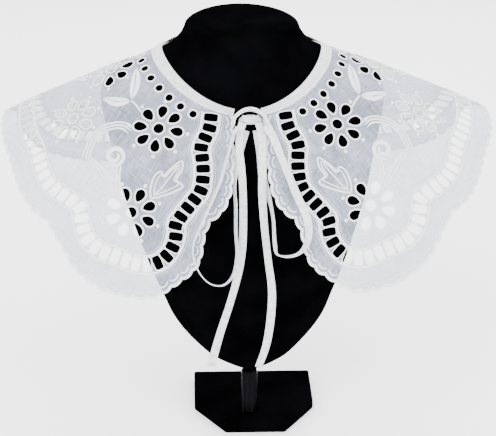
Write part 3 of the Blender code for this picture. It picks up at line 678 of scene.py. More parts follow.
def quads_between(here, there, place, beside):
    """Quads between two rings, from their first numbers, a place in the ring and the next one."""
    quads = np.stack([here + place, here + beside, there + beside, there + place], -1)
    return quads.reshape(-1, 4)


def skin(rings, count):
    """Faces of a closed skin through rings of count points: quads, and a face at each end."""
    ring, place = np.meshgrid(np.arange(rings - 1), np.arange(count), indexing="ij")
    quads = quads_between(ring * count, (ring + 1) * count, place, (place + 1) % count)
    first = np.arange(count)[None]
    return [quads, first[:, ::-1], first + (rings - 1) * count]


def tubes(line, facing, half_wide, half_high, sides=8, closed=False):
    """Tubes along lines of shape (m, n, 3): an ellipse at each point, its height along the facing.

    half_wide, across the line, and half_high are numbers or arrays of shape (m, n). U is the length
    along, V the part round.
    """
    lines, count = line.shape[:2]
    if closed:
        tangent = np.roll(line, -1, 1) - np.roll(line, 1, 1)
    else:
        tangent = np.gradient(line, axis=1)
    tangent = unit(tangent)
    across = unit(np.cross(facing, tangent))
    up = np.cross(tangent, across)
    wide = np.broadcast_to(np.asarray(half_wide, float), (lines, count))[..., None, None]
    high = np.broadcast_to(np.asarray(half_high, float), (lines, count))[..., None, None]
    turn = 2 * np.pi * np.arange(sides) / sides
    level = np.cos(turn)[:, None] * across[:, :, None] * wide
    points = line[:, :, None] + (level + np.sin(turn)[:, None] * up[:, :, None] * high)
    stops = count if closed else count - 1
    m, n, k = np.meshgrid(np.arange(lines), np.arange(stops), np.arange(sides), indexing="ij")
    here, there = (m * count + n) * sides, (m * count + (n + 1) % count) * sides
    faces = [quads_between(here, there, k, (k + 1) % sides)[:, ::-1]]
    if not closed:
        first = (np.arange(lines) * count * sides)[:, None] + np.arange(sides)
        faces += [first, (first + (count - 1) * sides)[:, ::-1]]
    steps = np.linalg.norm(np.diff(line, axis=1), axis=-1)
    length = np.concatenate([np.zeros((lines, 1)), np.cumsum(steps, axis=1)], axis=1)
    uv = np.stack(np.broadcast_arrays(length[..., None], turn / (2 * np.pi)), -1)
    return points.reshape(-1, 3), faces, uv.reshape(-1, 2)


def cloth_cord(flat, side, wide, high, sides=8, closed=False, lift=0.0, taper=None):
    """Raised cord of thread lying on the cloth, along lines (m, n, 2) of the flat pattern."""
    point, facing = lie(flat, side, lift)
    thick = np.ones(flat.shape[:2]) if taper is None else taper
    return tubes(point, facing, wide / 2 * thick, high * thick, sides, closed)


def domes(outline, centre, side, high):
    """Padded satin figures: closed outlines (m, n, 2) round centres (m, 2), domed on both faces.

    The section is half an ellipse. UV is the place in the figure, in millimetres of the pattern.
    """
    share = np.array([0.35, 0.68, 0.9, 1.0, 0.9, 0.68, 0.35])
    lift = high * np.sqrt(1 - share**2) * np.array([1, 1, 1, 0, -0.6, -0.6, -0.6])
    spokes = outline - centre[:, None]
    flat = centre[:, None, None] + spokes[:, None] * share[None, :, None, None]
    ring, _ = lie(flat, side, np.broadcast_to(lift[None, :, None], flat.shape[:3]))
    pole_lift = np.broadcast_to(high * np.array([1.0, -0.6]), (len(centre), 2))
    pole, _ = lie(np.stack([centre, centre], 1), side, pole_lift)
    figures, rings, count = flat.shape[:3]
    points = np.concatenate([ring.reshape(figures, -1, 3), pole], axis=1)
    stride = rings * count + 2
    m, r, n = np.meshgrid(np.arange(figures), np.arange(rings - 1), np.arange(count), indexing="ij")
    base = m * stride + r * count
    quads = quads_between(base, base + count, n, (n + 1) % count)[:, ::-1]
    m, n = np.meshgrid(np.arange(figures), np.arange(count), indexing="ij")
    base, beside, pole = m * stride, (n + 1) % count, rings * count
    last = base + (rings - 1) * count
    top = np.stack([base + n, base + beside, base + pole], -1).reshape(-1, 3)
    low = np.stack([last + beside, last + n, base + pole + 1], -1).reshape(-1, 3)
    uv = flat.reshape(figures, -1, 2) - centre[:, None]
    uv = np.concatenate([uv, np.zeros((figures, 2, 2))], axis=1)
    return points.reshape(-1, 3), [quads, top, low], uv.reshape(-1, 2)


def outward(made):
    """Turns a closed mesh's faces outwards."""
    work = bmesh.new()
    work.from_mesh(made.data)
    bmesh.ops.recalc_face_normals(work, faces=work.faces)
    work.to_mesh(made.data)
    work.free()


# Materials

def new_material(name):
    """Material with its main shader, its nodes and links."""
    material = bpy.data.materials.new(name)
    material.use_nodes = True
    tree = material.node_tree
    return material, tree.nodes["Principled BSDF"], tree.nodes, tree.links


def new_group(name, sockets_in, sockets_out):
    """Empty shader group with named sockets, its nodes, its links and its two end nodes."""
    group = bpy.data.node_groups.new(name, "ShaderNodeTree")
    for label, kind, value in sockets_in:
        made = group.interface.new_socket(name=label, in_out="INPUT", socket_type=kind)
        if value is not None:
            made.default_value = value
    for label, kind in sockets_out:
        group.interface.new_socket(name=label, in_out="OUTPUT", socket_type=kind)
    given, result = group.nodes.new("NodeGroupInput"), group.nodes.new("NodeGroupOutput")
    return group, group.nodes, group.links, given, result


def math_node(nodes, links, kind, first, second=None, third=None, clamp=False):
    """Math node whose inputs are links or numbers."""
    node = nodes.new("ShaderNodeMath")
    node.operation = kind
    node.use_clamp = clamp
    for number, value in enumerate([first, second, third]):
        if value is None:
            continue
        if isinstance(value, (int, float)):
            node.inputs[number].default_value = value
        else:
            links.new(value, node.inputs[number])
    return node.outputs[0]


def noise_node(nodes, links, place, scale, detail=2.0):
    """Soft noise at a place: a value about 0.5."""
    noise = nodes.new("ShaderNodeTexNoise")
    noise.inputs["Scale"].default_value = scale
    noise.inputs["Detail"].default_value = detail
    links.new(place, noise.inputs["Vector"])
    return noise.outputs["Fac"]


def weave_group():
    """Plain weave of two crossing sets of threads, with slubs: the higher of two waves.

    Place is in millimetres. Height is the weave, Open is 1 in the gaps between threads, and Slub is
    the mean of two crossing slow streaks.
    """
    group, nodes, links, given, result = new_group(
        "plain_weave",
        [
            ("Place", "NodeSocketVector", None),
            ("Thread", "NodeSocketFloat", 0.45),
            ("Slant", "NodeSocketFloat", 0.6),
        ],
        [
            ("Height", "NodeSocketFloat"),
            ("Open", "NodeSocketFloat"),
            ("Slub", "NodeSocketFloat"),
        ],
    )
    turn = nodes.new("ShaderNodeVectorRotate")
    turn.rotation_type = "Z_AXIS"
    links.new(given.outputs["Place"], turn.inputs["Vector"])
    links.new(given.outputs["Slant"], turn.inputs["Angle"])
    wobble = noise_node(nodes, links, turn.outputs[0], 0.12)
    wobble = math_node(nodes, links, "MULTIPLY", wobble, 1.2)
    parts = nodes.new("ShaderNodeSeparateXYZ")
    links.new(turn.outputs[0], parts.inputs[0])
    rate = math_node(nodes, links, "DIVIDE", 6.2832, given.outputs["Thread"])
    waves = []
    for axis in ("X", "Y"):
        moved = math_node(nodes, links, "ADD", parts.outputs[axis], wobble)
        turned = math_node(nodes, links, "MULTIPLY", moved, rate)
        waves.append(math_node(nodes, links, "SINE", turned))
    high = math_node(nodes, links, "MAXIMUM", waves[0], waves[1])
    links.new(high, result.inputs["Height"])
    links.new(math_node(nodes, links, "LESS_THAN", high, -0.35), result.inputs["Open"])
    streaks = []
    for scale in ((0.07, 0.85, 1.0), (0.75, 0.06, 1.0)):
        stretch = nodes.new("ShaderNodeMapping")
        stretch.inputs["Scale"].default_value = scale
        links.new(turn.outputs[0], stretch.inputs["Vector"])
        streaks.append(noise_node(nodes, links, stretch.outputs[0], 1.0))
    both = math_node(nodes, links, "ADD", streaks[0], streaks[1])
    links.new(math_node(nodes, links, "MULTIPLY", both, 0.5), result.inputs["Slub"])
    return group


def thread_group():
    """Satin stitches: fine uneven ridges across the first axis of Place, and a slow Tone."""
    group, nodes, links, given, result = new_group(
        "satin_thread",
        [("Place", "NodeSocketVector", None), ("Thread", "NodeSocketFloat", 0.4)],
        [("Height", "NodeSocketFloat"), ("Tone", "NodeSocketFloat")],
    )
    wobble = noise_node(nodes, links, given.outputs["Place"], 0.8)
    parts = nodes.new("ShaderNodeSeparateXYZ")
    links.new(given.outputs["Place"], parts.inputs[0])
    rate = math_node(nodes, links, "DIVIDE", 6.2832, given.outputs["Thread"])
    uneven = math_node(nodes, links, "MULTIPLY", wobble, 0.35)
    moved = math_node(nodes, links, "ADD", parts.outputs["X"], uneven)
    wave = math_node(nodes, links, "SINE", math_node(nodes, links, "MULTIPLY", moved, rate))
    links.new(math_node(nodes, links, "ABSOLUTE", wave), result.inputs["Height"])
    links.new(wobble, result.inputs["Tone"])
    return group


def use_group(nodes, links, group, place, **values):
    """Group node in a material, fed with a place and with numbers."""
    node = nodes.new("ShaderNodeGroup")
    node.node_tree = group
    links.new(place, node.inputs["Place"])
    for label, value in values.items():
        node.inputs[label].default_value = value
    return node


def mix_colour(nodes, links, share, first, second):
    """Colour between two by a share. The first one is a colour or a link."""
    node = nodes.new("ShaderNodeMix")
    node.data_type = "RGBA"
    if isinstance(first, tuple):
        node.inputs["A"].default_value = (*first, 1)
    else:
        links.new(first, node.inputs["A"])
    node.inputs["B"].default_value = (*second, 1)
    links.new(share, node.inputs["Factor"])
    return node.outputs["Result"]


def add_bump(nodes, links, shader, height, strength, distance):
    """Bump from a height, into the shader's normal."""
    bump = nodes.new("ShaderNodeBump")
    bump.inputs["Strength"].default_value = strength
    bump.inputs["Distance"].default_value = distance
    links.new(height, bump.inputs["Height"])
    links.new(bump.outputs["Normal"], shader.inputs["Normal"])


def ramp(nodes, links, value, low, high):
    """Share that rises from 0 at low to 1 at high."""
    node = nodes.new("ShaderNodeMapRange")
    node.inputs["From Min"].default_value = low
    node.inputs["From Max"].default_value = high
    links.new(value, node.inputs["Value"])
    return node.outputs["Result"]


def voile_look(weave):
    """Sheer white cotton: a plain weave that lets what lies behind show, with slubs and clouds."""
    material, shader, nodes, links = new_material("sheer_cotton")
    place = nodes.new("ShaderNodeUVMap")
    place.uv_map = "UVMap"
    threads = use_group(nodes, links, weave, place.outputs["UV"], Thread=0.5, Slant=0.7)
    clouds = noise_node(nodes, links, place.outputs["UV"], 0.03, 4.0)
    cloud = math_node(nodes, links, "MULTIPLY", clouds, 0.3)
    tone = math_node(nodes, links, "MULTIPLY_ADD", threads.outputs["Slub"], 0.7, cloud)
    share = ramp(nodes, links, tone, 0.41, 0.59)
    colour = mix_colour(nodes, links, share, (0.265, 0.29, 0.375), (0.345, 0.365, 0.44))
    links.new(colour, shader.inputs["Base Color"])
    dense = math_node(nodes, links, "MULTIPLY_ADD", threads.outputs["Height"], 0.06, 0.44)
    dense = math_node(nodes, links, "MULTIPLY_ADD", share, 0.34, dense, clamp=True)
    links.new(dense, shader.inputs["Alpha"])
    shader.inputs["Roughness"].default_value = 0.85
    shader.inputs["Sheen Weight"].default_value = 0.15
    shader.inputs["Specular IOR Level"].default_value = 0.2
    add_bump(nodes, links, shader, threads.outputs["Height"], 0.35, 0.0001)
    return material


def satin_look(thread):
    """Shiny white embroidery thread, its stitches lying across each cord."""
    material, shader, nodes, links = new_material("satin_stitch")
    place = nodes.new("ShaderNodeUVMap")
    place.uv_map = "UVMap"
    stitches = use_group(nodes, links, thread, place.outputs["UV"], Thread=1.5)
    # Painted shade: where the stitch height is low, in the grooves between stitches, the thread turns
    # dark grey; slow patches of uneven tone lighten it here and there.
    patchy_tone = ramp(nodes, links, stitches.outputs["Tone"], 0.35, 0.6)
    raised = ramp(nodes, links, stitches.outputs["Height"], 0.0, 0.4)
    share = math_node(nodes, links, "MULTIPLY_ADD", patchy_tone, 0.45, raised, clamp=True)
    colour = mix_colour(nodes, links, share, (0.22, 0.225, 0.26), (0.64, 0.64, 0.67))
    links.new(colour, shader.inputs["Base Color"])
    shader.inputs["Roughness"].default_value = 0.5
    shader.inputs["Sheen Weight"].default_value = 0.25
    add_bump(nodes, links, shader, stitches.outputs["Height"], 0.5, 0.0002)
    return material


def tape_look(weave):
    """Firm white cotton tape: a tight weave with soft streaks."""
    material, shader, nodes, links = new_material("cotton_tape")
    place = nodes.new("ShaderNodeUVMap")
    place.uv_map = "UVMap"
    threads = use_group(nodes, links, weave, place.outputs["UV"], Thread=0.45, Slant=0.0)
    streaks = noise_node(nodes, links, place.outputs["UV"], 0.25, 5.0)
    tone = math_node(nodes, links, "MULTIPLY_ADD", threads.outputs["Height"], 0.18, streaks)
    share = ramp(nodes, links, tone, 0.25, 0.75)
    colour = mix_colour(nodes, links, share, (0.36, 0.37, 0.40), (0.72, 0.72, 0.74))
    links.new(colour, shader.inputs["Base Color"])
    shader.inputs["Roughness"].default_value = 0.8
    shader.inputs["Sheen Weight"].default_value = 0.2
    shader.inputs["Specular IOR Level"].default_value = 0.25
    height = math_node(nodes, links, "MULTIPLY_ADD", streaks, 1.5, threads.outputs["Height"])
    add_bump(nodes, links, shader, height, 0.5, 0.0002)
    return material


def velvet_look():
    """Deep black pile: brushed patches, a faint sheen at the edges and a few specks of lint."""
    material, shader, nodes, links = new_material("black_velvet")
    place = nodes.new("ShaderNodeTexCoord").outputs["Object"]
    brushed = noise_node(nodes, links, place, 28.0, 6.0)
    pile = noise_node(nodes, links, place, 2600.0)
    choose = noise_node(nodes, links, place, 40.0)
    specks = nodes.new("ShaderNodeTexVoronoi")
    specks.inputs["Scale"].default_value = 260.0
    links.new(place, specks.inputs["Vector"])
    small = math_node(nodes, links, "LESS_THAN", specks.outputs["Distance"], 0.10)
    few = math_node(nodes, links, "GREATER_THAN", choose, 0.66)
    lint = math_node(nodes, links, "MULTIPLY", small, few)
    patches = ramp(nodes, links, brushed, 0.35, 0.75)
    tone = math_node(nodes, links, "MULTIPLY_ADD", pile, 0.4, patches)
    dark = mix_colour(nodes, links, tone, (0.0002, 0.0002, 0.0003), (0.0012, 0.0012, 0.0016))
    speckled = mix_colour(nodes, links, lint, dark, (0.008, 0.008, 0.01))
    links.new(speckled, shader.inputs["Base Color"])
    shader.inputs["Roughness"].default_value = 1.0
    shader.inputs["Specular IOR Level"].default_value = 0.0
    shader.inputs["Sheen Weight"].default_value = 0.001
    shader.inputs["Sheen Roughness"].default_value = 0.4
    height = math_node(nodes, links, "MULTIPLY_ADD", brushed, 3.0, pile)
    add_bump(nodes, links, shader, height, 0.5, 0.0006)
    return material


def stem_look():
    """Dark polished post with pale upright streaks and small scuffs."""
    material, shader, nodes, links = new_material("dark_gloss")
    place = nodes.new("ShaderNodeTexCoord")
    stretch = nodes.new("ShaderNodeMapping")
    stretch.inputs["Scale"].default_value = (900.0, 900.0, 22.0)
    links.new(place.outputs["Object"], stretch.inputs["Vector"])
    streaks = noise_node(nodes, links, stretch.outputs[0], 0.35, 4.0)
    share = ramp(nodes, links, streaks, 0.48, 0.8)
    colour = mix_colour(nodes, links, share, (0.0006, 0.0005, 0.001), (0.006, 0.0055, 0.008))
    links.new(colour, shader.inputs["Base Color"])
    rough = math_node(nodes, links, "MULTIPLY_ADD", streaks, 0.25, 0.12)
    links.new(rough, shader.inputs["Roughness"])
    shader.inputs["Coat Weight"].default_value = 0.0
    shader.inputs["Specular IOR Level"].default_value = 0.03
    return material


# The collar

def inner_points(edge, loop_of, middles):
    """Points on rings of equal reach, a step apart, clear of every edge and outside every eyelet.

    The rings are 0.87 of a step apart and every other one is shifted by half a step, so that the
    triangles come out nearly even. A point is in an eyelet when the nearest edge point is that
    eyelet's and lies further from its middle.
    """
    found = []
    whole = EDGE_LENGTHS[-1] / RING_RADIUS
    rings = np.arange(COLLAR_TOP + CLOTH_STEP, REACH_LONGEST, CLOTH_STEP * 0.87)
    for number, reach in enumerate(rings):
        radius = RING_RADIUS + reach
        count = int(whole * radius / CLOTH_STEP)
        turn = (np.arange(count) + (0.25 if number % 2 else 0.75)) * whole / count
        found.append(np.stack([radius * np.cos(turn), radius * np.sin(turn)], -1))
    found = np.concatenate(found)
    near = np.concatenate([
        ((part[:, None] - edge[None]) ** 2).sum(-1).argmin(axis=1)
        for part in np.array_split(found, 60)
    ])
    middle = middles[loop_of[near]]
    from_middle = np.linalg.norm(found - middle, axis=1)
    inside = from_middle < np.linalg.norm(edge[near] - middle, axis=1)
    clear = np.linalg.norm(found - edge[near], axis=1) > CLOTH_STEP * 0.6
    return found[clear & ~(inside & (loop_of[near] > 0))]


def cut_cloth(holes, hem):
    """Flat points and triangles of one half: its outline filled, and its eyelets left open.

    The outline runs along the tape, down the back seam and along the hem. Triangles whose corners
    all belong to one eyelet are left out.
    """
    top = to_flat(np.linspace(HEM[0, 0], 180, 100), COLLAR_TOP - CLOTH_UNDER_TAPE)
    back = to_flat(180, np.linspace(COLLAR_TOP - CLOTH_UNDER_TAPE, HEM[-1, 1], 52)[1:])
    loops = [np.concatenate([top, back, hem[:0:-1][1:]])] + holes
    edge = np.concatenate(loops)
    sizes = np.array([len(loop) for loop in loops])
    starts = np.concatenate([[0], np.cumsum(sizes)[:-1]])
    number = np.arange(len(edge))
    last = np.repeat(starts + sizes - 1, sizes)
    after = np.where(number == last, np.repeat(starts, sizes), number + 1)
    loop_of = np.repeat(np.arange(len(loops)), sizes)
    middles = np.array([loop.mean(axis=0) for loop in loops])
    points = np.concatenate([edge, inner_points(edge, loop_of, middles)])
    loop_of = np.concatenate([loop_of, np.zeros(len(points) - len(edge), int)])
    links = np.stack([number, after], -1).tolist()
    places = [Vector(point) for point in points.tolist()]
    flat, _, faces, source, _, _ = delaunay_2d_cdt(places, links, [], 1, 1e-5)
    flat, faces = np.array([tuple(point) for point in flat]), np.array(faces)
    owner = np.array([loop_of[ids[0]] if ids else 0 for ids in source])[faces]
    in_hole = (owner[:, 0] > 0) & (owner[:, 0] == owner[:, 1]) & (owner[:, 1] == owner[:, 2])
    faces = faces[~in_hole]
    used, where = np.unique(faces, return_inverse=True)
    return flat[used], where.reshape(faces.shape)


def leaf_halves(long, wide, bend):
    """Two halves of a pointed leaf, 32 points each, with a gap along its middle line.

    The half width is a power of a sine of the part along, and the middle line is a shallow arc.
    """
    part = np.linspace(0, 1, 17)
    half = wide / 2 * np.sin(np.pi * part**0.85) ** 0.8
    middle = bend * np.sin(np.pi * part)
    halves = []
    for sign in (1, -1):
        rim = np.stack([part * long, middle + sign * half], -1)
        gap = sign * LEAF_VEIN_HALF * np.sin(np.pi * part) ** 0.5
        vein = np.stack([part * long, middle + gap], -1)
        halves.append(np.concatenate([rim, vein[-2:0:-1]]))
    return halves


def pattern_leaf(row, outline):
    """Flat pattern points of a leaf's outline, from foot to tip of its row."""
    foot, tip = to_flat(row[0], row[1]), to_flat(row[2], row[3])
    return place_figure(foot, unit(tip - foot), outline)


def true_length(row):
    """Distance on the hanging cloth between foot and tip."""
    foot, tip = hang(to_flat(row[0], row[1])), hang(to_flat(row[2], row[3]))
    return float(np.linalg.norm(foot - tip))


def resample(line, count):
    """The same line with this many even points."""
    length = run_length(line)
    return at_lengths(np.linspace(0, length[-1], count), length, line)


def lobed_leaf(row, side):
    """Outlined leaf with a long lobe: a cord round its edge, a finer one inside it, and a vein."""
    long = true_length(row)
    middle = np.array([0.5, 0.02])
    parts = []
    for inset, cord in ((0.0, LOBE_CORD), (0.2, INNER_LOBE_CORD)):
        shape = middle + (LOBED_EDGE - middle) * (1 - inset * np.array([1.0, 1.6]))
        edge = smooth_rows(shape * long * [1, row[4]], 6)
        line = resample(pattern_leaf(row, edge), 90)
        parts.append(cloth_cord(line[None], side, *cord, 6))
    vein = np.array([(0.06, 0.0), (0.3, 0.03), (0.55, 0.03), (0.84, 0.01)]) * long * [1, row[4]]
    line = resample(pattern_leaf(row, smooth_rows(vein, 6)), 30)
    parts.append(cloth_cord(line[None], side, *VEIN_CORD, 6))
    return parts


def rose(angle, reach, size, turn, side):
    """Rolled rose: one thick cord whose radius shrinks evenly while it turns inwards."""
    middle = to_flat(angle, reach)
    heading = to_flat(angle, reach + 1) - middle
    part = np.linspace(0, 1, 90)
    whirl = np.radians(turn) - part * ROSE_TURNS * 2 * np.pi
    spiral = np.stack([np.cos(whirl), np.sin(whirl)], -1) * (size * (1 - 0.7 * part))[:, None]
    taper = np.sin(np.pi * np.clip(part * 0.9 + 0.07, 0, 1))[None] ** 0.6
    line = place_figure(middle, heading, spiral)
    return cloth_cord(line[None], side, *ROSE_CORD, 10, taper=taper)


def stem_cords(rows, count, side):
    """Cords of a stem, side by side, each thin at both of its ends."""
    angle, reach = np.array(rows, float).T
    line = resample(smooth_rows(to_flat(angle, reach), 12), 60)
    part = np.linspace(0, 1, 60)
    taper = np.clip(np.minimum(part, np.linspace(1, 0, 60)) * 8 + 0.35, 0, 1)[None]
    cords = []
    for offset in (np.arange(count) - (count - 1) / 2) * STEM_LINES_APART:
        moved = place_figure(line, headings(line), np.full((60, 1, 2), (0.0, offset)))[:, 0]
        cords.append(cloth_cord(moved[None], side, *STEM_CORD, 6, taper=taper))
    return cords


def motif_parts(side):
    """Leaves, lobed leaves, roses and stems of one half."""
    parts = []
    for row in SATIN_LEAVES:
        for half in leaf_halves(true_length(row), row[4], row[5]):
            outline = pattern_leaf(row, half)
            parts.append(domes(outline[None], outline.mean(axis=0)[None], side, LEAF_HIGH))
    for row in LOBED_LEAVES:
        parts += lobed_leaf(row, side)
    for angle, reach, size, turn in ROSES:
        parts.append(rose(angle, reach, size, turn, side))
    for rows, count in STEMS:
        parts += stem_cords(rows, count, side)
    return parts


def dot_parts(side):
    """Satin dots: eight round each flower, one beyond each petal."""
    middles = []
    for angle, reach, turn in FLOWERS:
        centre = to_flat(angle, reach)
        heading = to_flat(angle, reach + 1) - centre
        way = np.radians(turn + 45 * np.arange(8))
        spots = DOT_RING * np.stack([np.cos(way), np.sin(way)], -1)
        middles.append(place_figure(centre, heading, spots))
    middles = np.concatenate(middles)
    middles = middles[flat_reach(middles) > NECK_EYELET_REACH + 5]
    heading = np.broadcast_to([1.0, 0.0], middles.shape)
    dot = np.broadcast_to(round_figure(DOT_SIZE, 12), (len(middles), 12, 2))
    return [domes(place_figure(middles, heading, dot), middles, side, DOT_HIGH)]


def stitch_row(point, facing, marks, stitch):
    """Short tubes of three points, one at each mark along a line, that follow the line."""
    half_long, half_wide, half_high = stitch
    length = run_length(point)
    ends = np.stack([marks - half_long, marks, marks + half_long], -1)
    line, up = at_lengths(ends, length, point), at_lengths(ends, length, facing)
    return tubes(line, up, half_wide, half_high, 5)


def pin_stitches(line, side):
    """Small stitches in a row along a line of the flat pattern."""
    point, facing = lie(line, side, 0.1)
    count = int(run_length(point)[-1] / PIN_PITCH)
    return stitch_row(point, facing, (np.arange(count) + 0.5) * PIN_PITCH, PIN_STITCH)


def build_collar(side, name, flat, faces, groups, hem, arcs, voile, satin):
    """One half: sheer cloth, rims round its eyelets, cords along ladder and hem, and its motifs."""
    point, _ = lie(flat, side)
    wound = faces if side > 0 else faces[:, ::-1]
    cloth = make_piece("cloth_" + name, point, [wound], flat, voile)
    ladder, petals, rounds = groups
    rims = [
        cloth_cord(loops, side, wide, RIM_HIGH, 8, closed=True)
        for loops, wide in ((ladder, LADDER_RIM), (petals, ROUND_RIM), (rounds, ROUND_RIM))
    ]
    eyelets = make_piece("eyelet_rims_" + name, *join(rims), satin)
    cords, pins = [], []
    for sign in (1, -1):
        line = side_line(sign * (LADDER_ACROSS / 2 + CORD_FROM_EYELETS))
        cords.append(cloth_cord(line[None], side, *LADDER_CORD, 8))
        line = side_line(sign * (LADDER_ACROSS / 2 + PINS_FROM_EYELETS))
        pins.append(pin_stitches(line, side))
    cords += [*pins, cloth_cord(hem[None], side, *HEM_CORD, 8), cloth_cord(arcs, side, *ARC_CORD, 6)]
    corded = make_piece("cords_" + name, *join(cords), satin)
    motifs = make_piece("motifs_" + name, *join(motif_parts(side) + dot_parts(side)), satin)
    for made in (eyelets, corded, motifs):
        outward(made)
    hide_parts("collar_" + name)
    return cloth, [eyelets, corded, motifs]


# The tape, ties and knot

def tape_surface(angle, part):
    """Point of the binding: part 0 is its outer edge by the cloth, 1 its inner edge by the neck."""
    angle, part = np.broadcast_arrays(np.asarray(angle, float), np.asarray(part, float))
    direction = np.radians(smooth_table(angle, DRAPE)[..., 0])
    slope = np.radians(smooth_table(angle, BINDING_SLOPE)[..., 0])
    level = np.stack([-np.sin(direction), np.cos(direction), 0 * slope], -1)
    rise = np.sin(slope)[..., None] * np.array([0.0, 0.0, 1.0])
    way = level * np.cos(slope)[..., None] + rise
    return drape(angle, BINDING_OUTER) + BINDING_WIDE * part[..., None] * way


def build_tape(look, satin):
    """Folded tape round the neck, with a row of stitches.

    Its section is flat with a rolled outer edge, and waves along its length pucker it.
    """
    angle = np.linspace(BINDING_END, 360 - BINDING_END, 420)
    half = np.minimum(angle, 360 - angle)
    across = np.array([-0.14, -0.1, -0.03, 0.06, 0.2, 0.4, 0.6, 0.78, 0.88, 0.95, 1.0])
    middle = tape_surface(half[:, None], across[None])
    along = unit(np.gradient(tape_surface(half, 0.5), axis=0))
    inward = unit(middle[:, -1] - middle[:, 0])
    facing = np.cross(inward, along)
    facing = facing * np.sign(facing[:, 2:])
    section = np.array([0.0, 0.75, 1.0, 0.95, 0.62, 0.55, 0.55, 0.6, 0.75, 0.6, 0.0])
    thick = BINDING_THICK / 2 * section
    length = run_length(tape_surface(half, 0.5))
    pucker = PUCKER_HIGH * np.sin(length / 1.9 + 1.7 * np.sin(length / 7.3)) * np.sin(length / 23.0)
    pucker = pucker[:, None] * np.exp(-(((across - 0.3) / 0.22) ** 2))
    top = middle + (thick + pucker)[..., None] * facing[:, None]
    low = middle - thick[..., None] * facing[:, None]
    mirror = np.where(angle <= 180, 1.0, -1.0)[:, None] * [1, 0, 0] + [0, 1, 1]
    ring = np.concatenate([top, low[:, -2:0:-1]], axis=1) * mirror[:, None]
    rings, count = ring.shape[:2]
    faces = skin(rings, count)
    round_it = np.concatenate([across, -across[-2:0:-1]]) * BINDING_WIDE
    uv = np.stack(np.broadcast_arrays(length[:, None], round_it[None]), -1).reshape(-1, 2)
    tape = make_piece("neck_tape", ring.reshape(-1, 3), faces, uv, look)
    outward(tape)
    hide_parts("neck_binding")
    seam = (tape_surface(half, SEAM_PLACE) + facing * SEAM_LIFT) * mirror
    marks = np.arange(2.0, run_length(seam)[-1] - 2, SEAM_PITCH)
    row = stitch_row(seam, facing * mirror, marks, SEAM_STITCH)
    stitches = make_piece("neck_stitches", *row, satin)
    outward(stitches)
    return tape, [stitches]


def band(rows, wide, thick, folds, seed, steps=8):
    """Flat band along a table's middle line, with lengthwise folds that come and go.

    The section has 20 points on a circle pressed towards a rectangle. Its height grows towards both
    edges, where the band is rolled, and waves along the band raise and lower its middle.
    """
    rows = smooth_rows(rows, steps)
    middle, across = rows[:, :3], unit(rows[:, 3:6])
    tangent = headings(middle)
    across = unit(across - np.sum(across * tangent, 1, keepdims=True) * tangent)
    up = np.cross(tangent, across)
    length = run_length(middle)
    turn = 2 * np.pi * np.arange(20) / 20
    place = np.sign(np.cos(turn)) * np.abs(np.cos(turn)) ** 0.55
    level = np.sign(np.sin(turn)) * np.abs(np.sin(turn)) ** 0.55
    rolled = 0.72 + 0.4 * np.abs(place) ** 6
    wave = np.sin(place[None] * 4.2 + seed + np.sin(length[:, None] / 17.0 + seed) * 1.4)
    camber = folds * wave * np.sin(length[:, None] / 29.0 + seed) * (1 - place[None] ** 2)
    narrow = 1 - 0.07 * (1 + np.sin(length / 21.0 + seed))
    height = thick / 2 * level * rolled + camber
    aside = (wide / 2 * narrow[:, None] * place)[..., None]
    ring = middle[:, None] + across[:, None] * aside + up[:, None] * height[..., None]
    rings, count = ring.shape[:2]
    faces = skin(rings, count)
    uv = np.stack(np.broadcast_arrays(length[:, None], place * wide / 2), -1).reshape(-1, 2)
    return (ring.reshape(-1, 3), faces, uv), middle, length[-1]


def build_ties(look):
    """Two tails and two loops, each a free flat cord of its real length."""
    made = []
    tables = {
        "tail_left": TAIL_LEFT,
        "tail_right": TAIL_RIGHT,
        "loop_left": LOOP_LEFT,
        "loop_right": LOOP_RIGHT,
    }
    for number, (name, table) in enumerate(tables.items()):
        mesh, middle, length = band(table, TIE_WIDE, TIE_THICK, 0.22, number * 1.9)
        tie = make_piece("bow_" + name, *mesh, look)
        outward(tie)
        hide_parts(name)
        made.append(tie)
    return made


def knot_ball():
    """The middle of the knot: an uneven ball, its radius waved by the turn and the tilt."""
    around, up = 32, 17
    turn, tilt = np.meshgrid(
        np.linspace(0, 2 * np.pi, around + 1)[:-1],
        np.linspace(-0.5 * np.pi, 0.5 * np.pi, up),
        indexing="ij",
    )
    ball = np.stack([np.cos(turn) * np.cos(tilt), np.sin(turn) * np.cos(tilt), np.sin(tilt)], -1)
    bumps = 1 + 0.05 * np.sin(5 * turn + 3 * tilt) * np.cos(tilt)
    ball = (ball * bumps[..., None] * [10.0, 4.2, 4.4] + [1.4, -31.6, 300.2]).reshape(-1, 3)
    n, k = np.meshgrid(np.arange(around), np.arange(up - 1), indexing="ij")
    here, there = n * up, (n + 1) % around * up
    quads = np.stack([here + k, there + k, there + k + 1, here + k + 1], -1).reshape(-1, 4)
    return ball, [quads], ball[:, [0, 2]]


def build_knot(look):
    """The bow's arch with deep lengthwise folds, and the crossed ties below it."""
    arch, _, _ = band(KNOT, TIE_WIDE, 4.2, 0.55, 2.4, steps=14)
    fold = KNOT.copy()
    fold[:, :3] += [0.0, -2.2, 1.6]
    upper, _, _ = band(fold[1:5], TIE_WIDE * 0.5, 1.6, 0.3, 0.4, steps=14)
    piece = make_piece("bow_knot", *join([arch, upper]), look)
    outward(piece)
    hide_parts("knot")
    part = np.linspace(0, 1, 40)
    across, sag = 2 * part - 1, 1.6 * np.sin(np.pi * part)
    cross = []
    for sign, lift in ((1, 0.0), (-1, 1.2)):
        x = 1.4 + 9.2 * across * sign
        z = 300.2 + 2.6 * across + lift * 0.4
        line = np.stack([x, -32.0 - sag - lift, z], -1)
        rows = np.concatenate([line, np.tile([0.15, -0.35, 0.93], (40, 1))], 1)[::4]
        cross.append(band(rows, 6.2, 2.6, 0.5, 1.1 + sign, steps=5)[0])
    core = make_piece("bow_crossing", *join([*cross, knot_ball()]), look)
    outward(core)
    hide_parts("knot_core")
    return [piece, core]


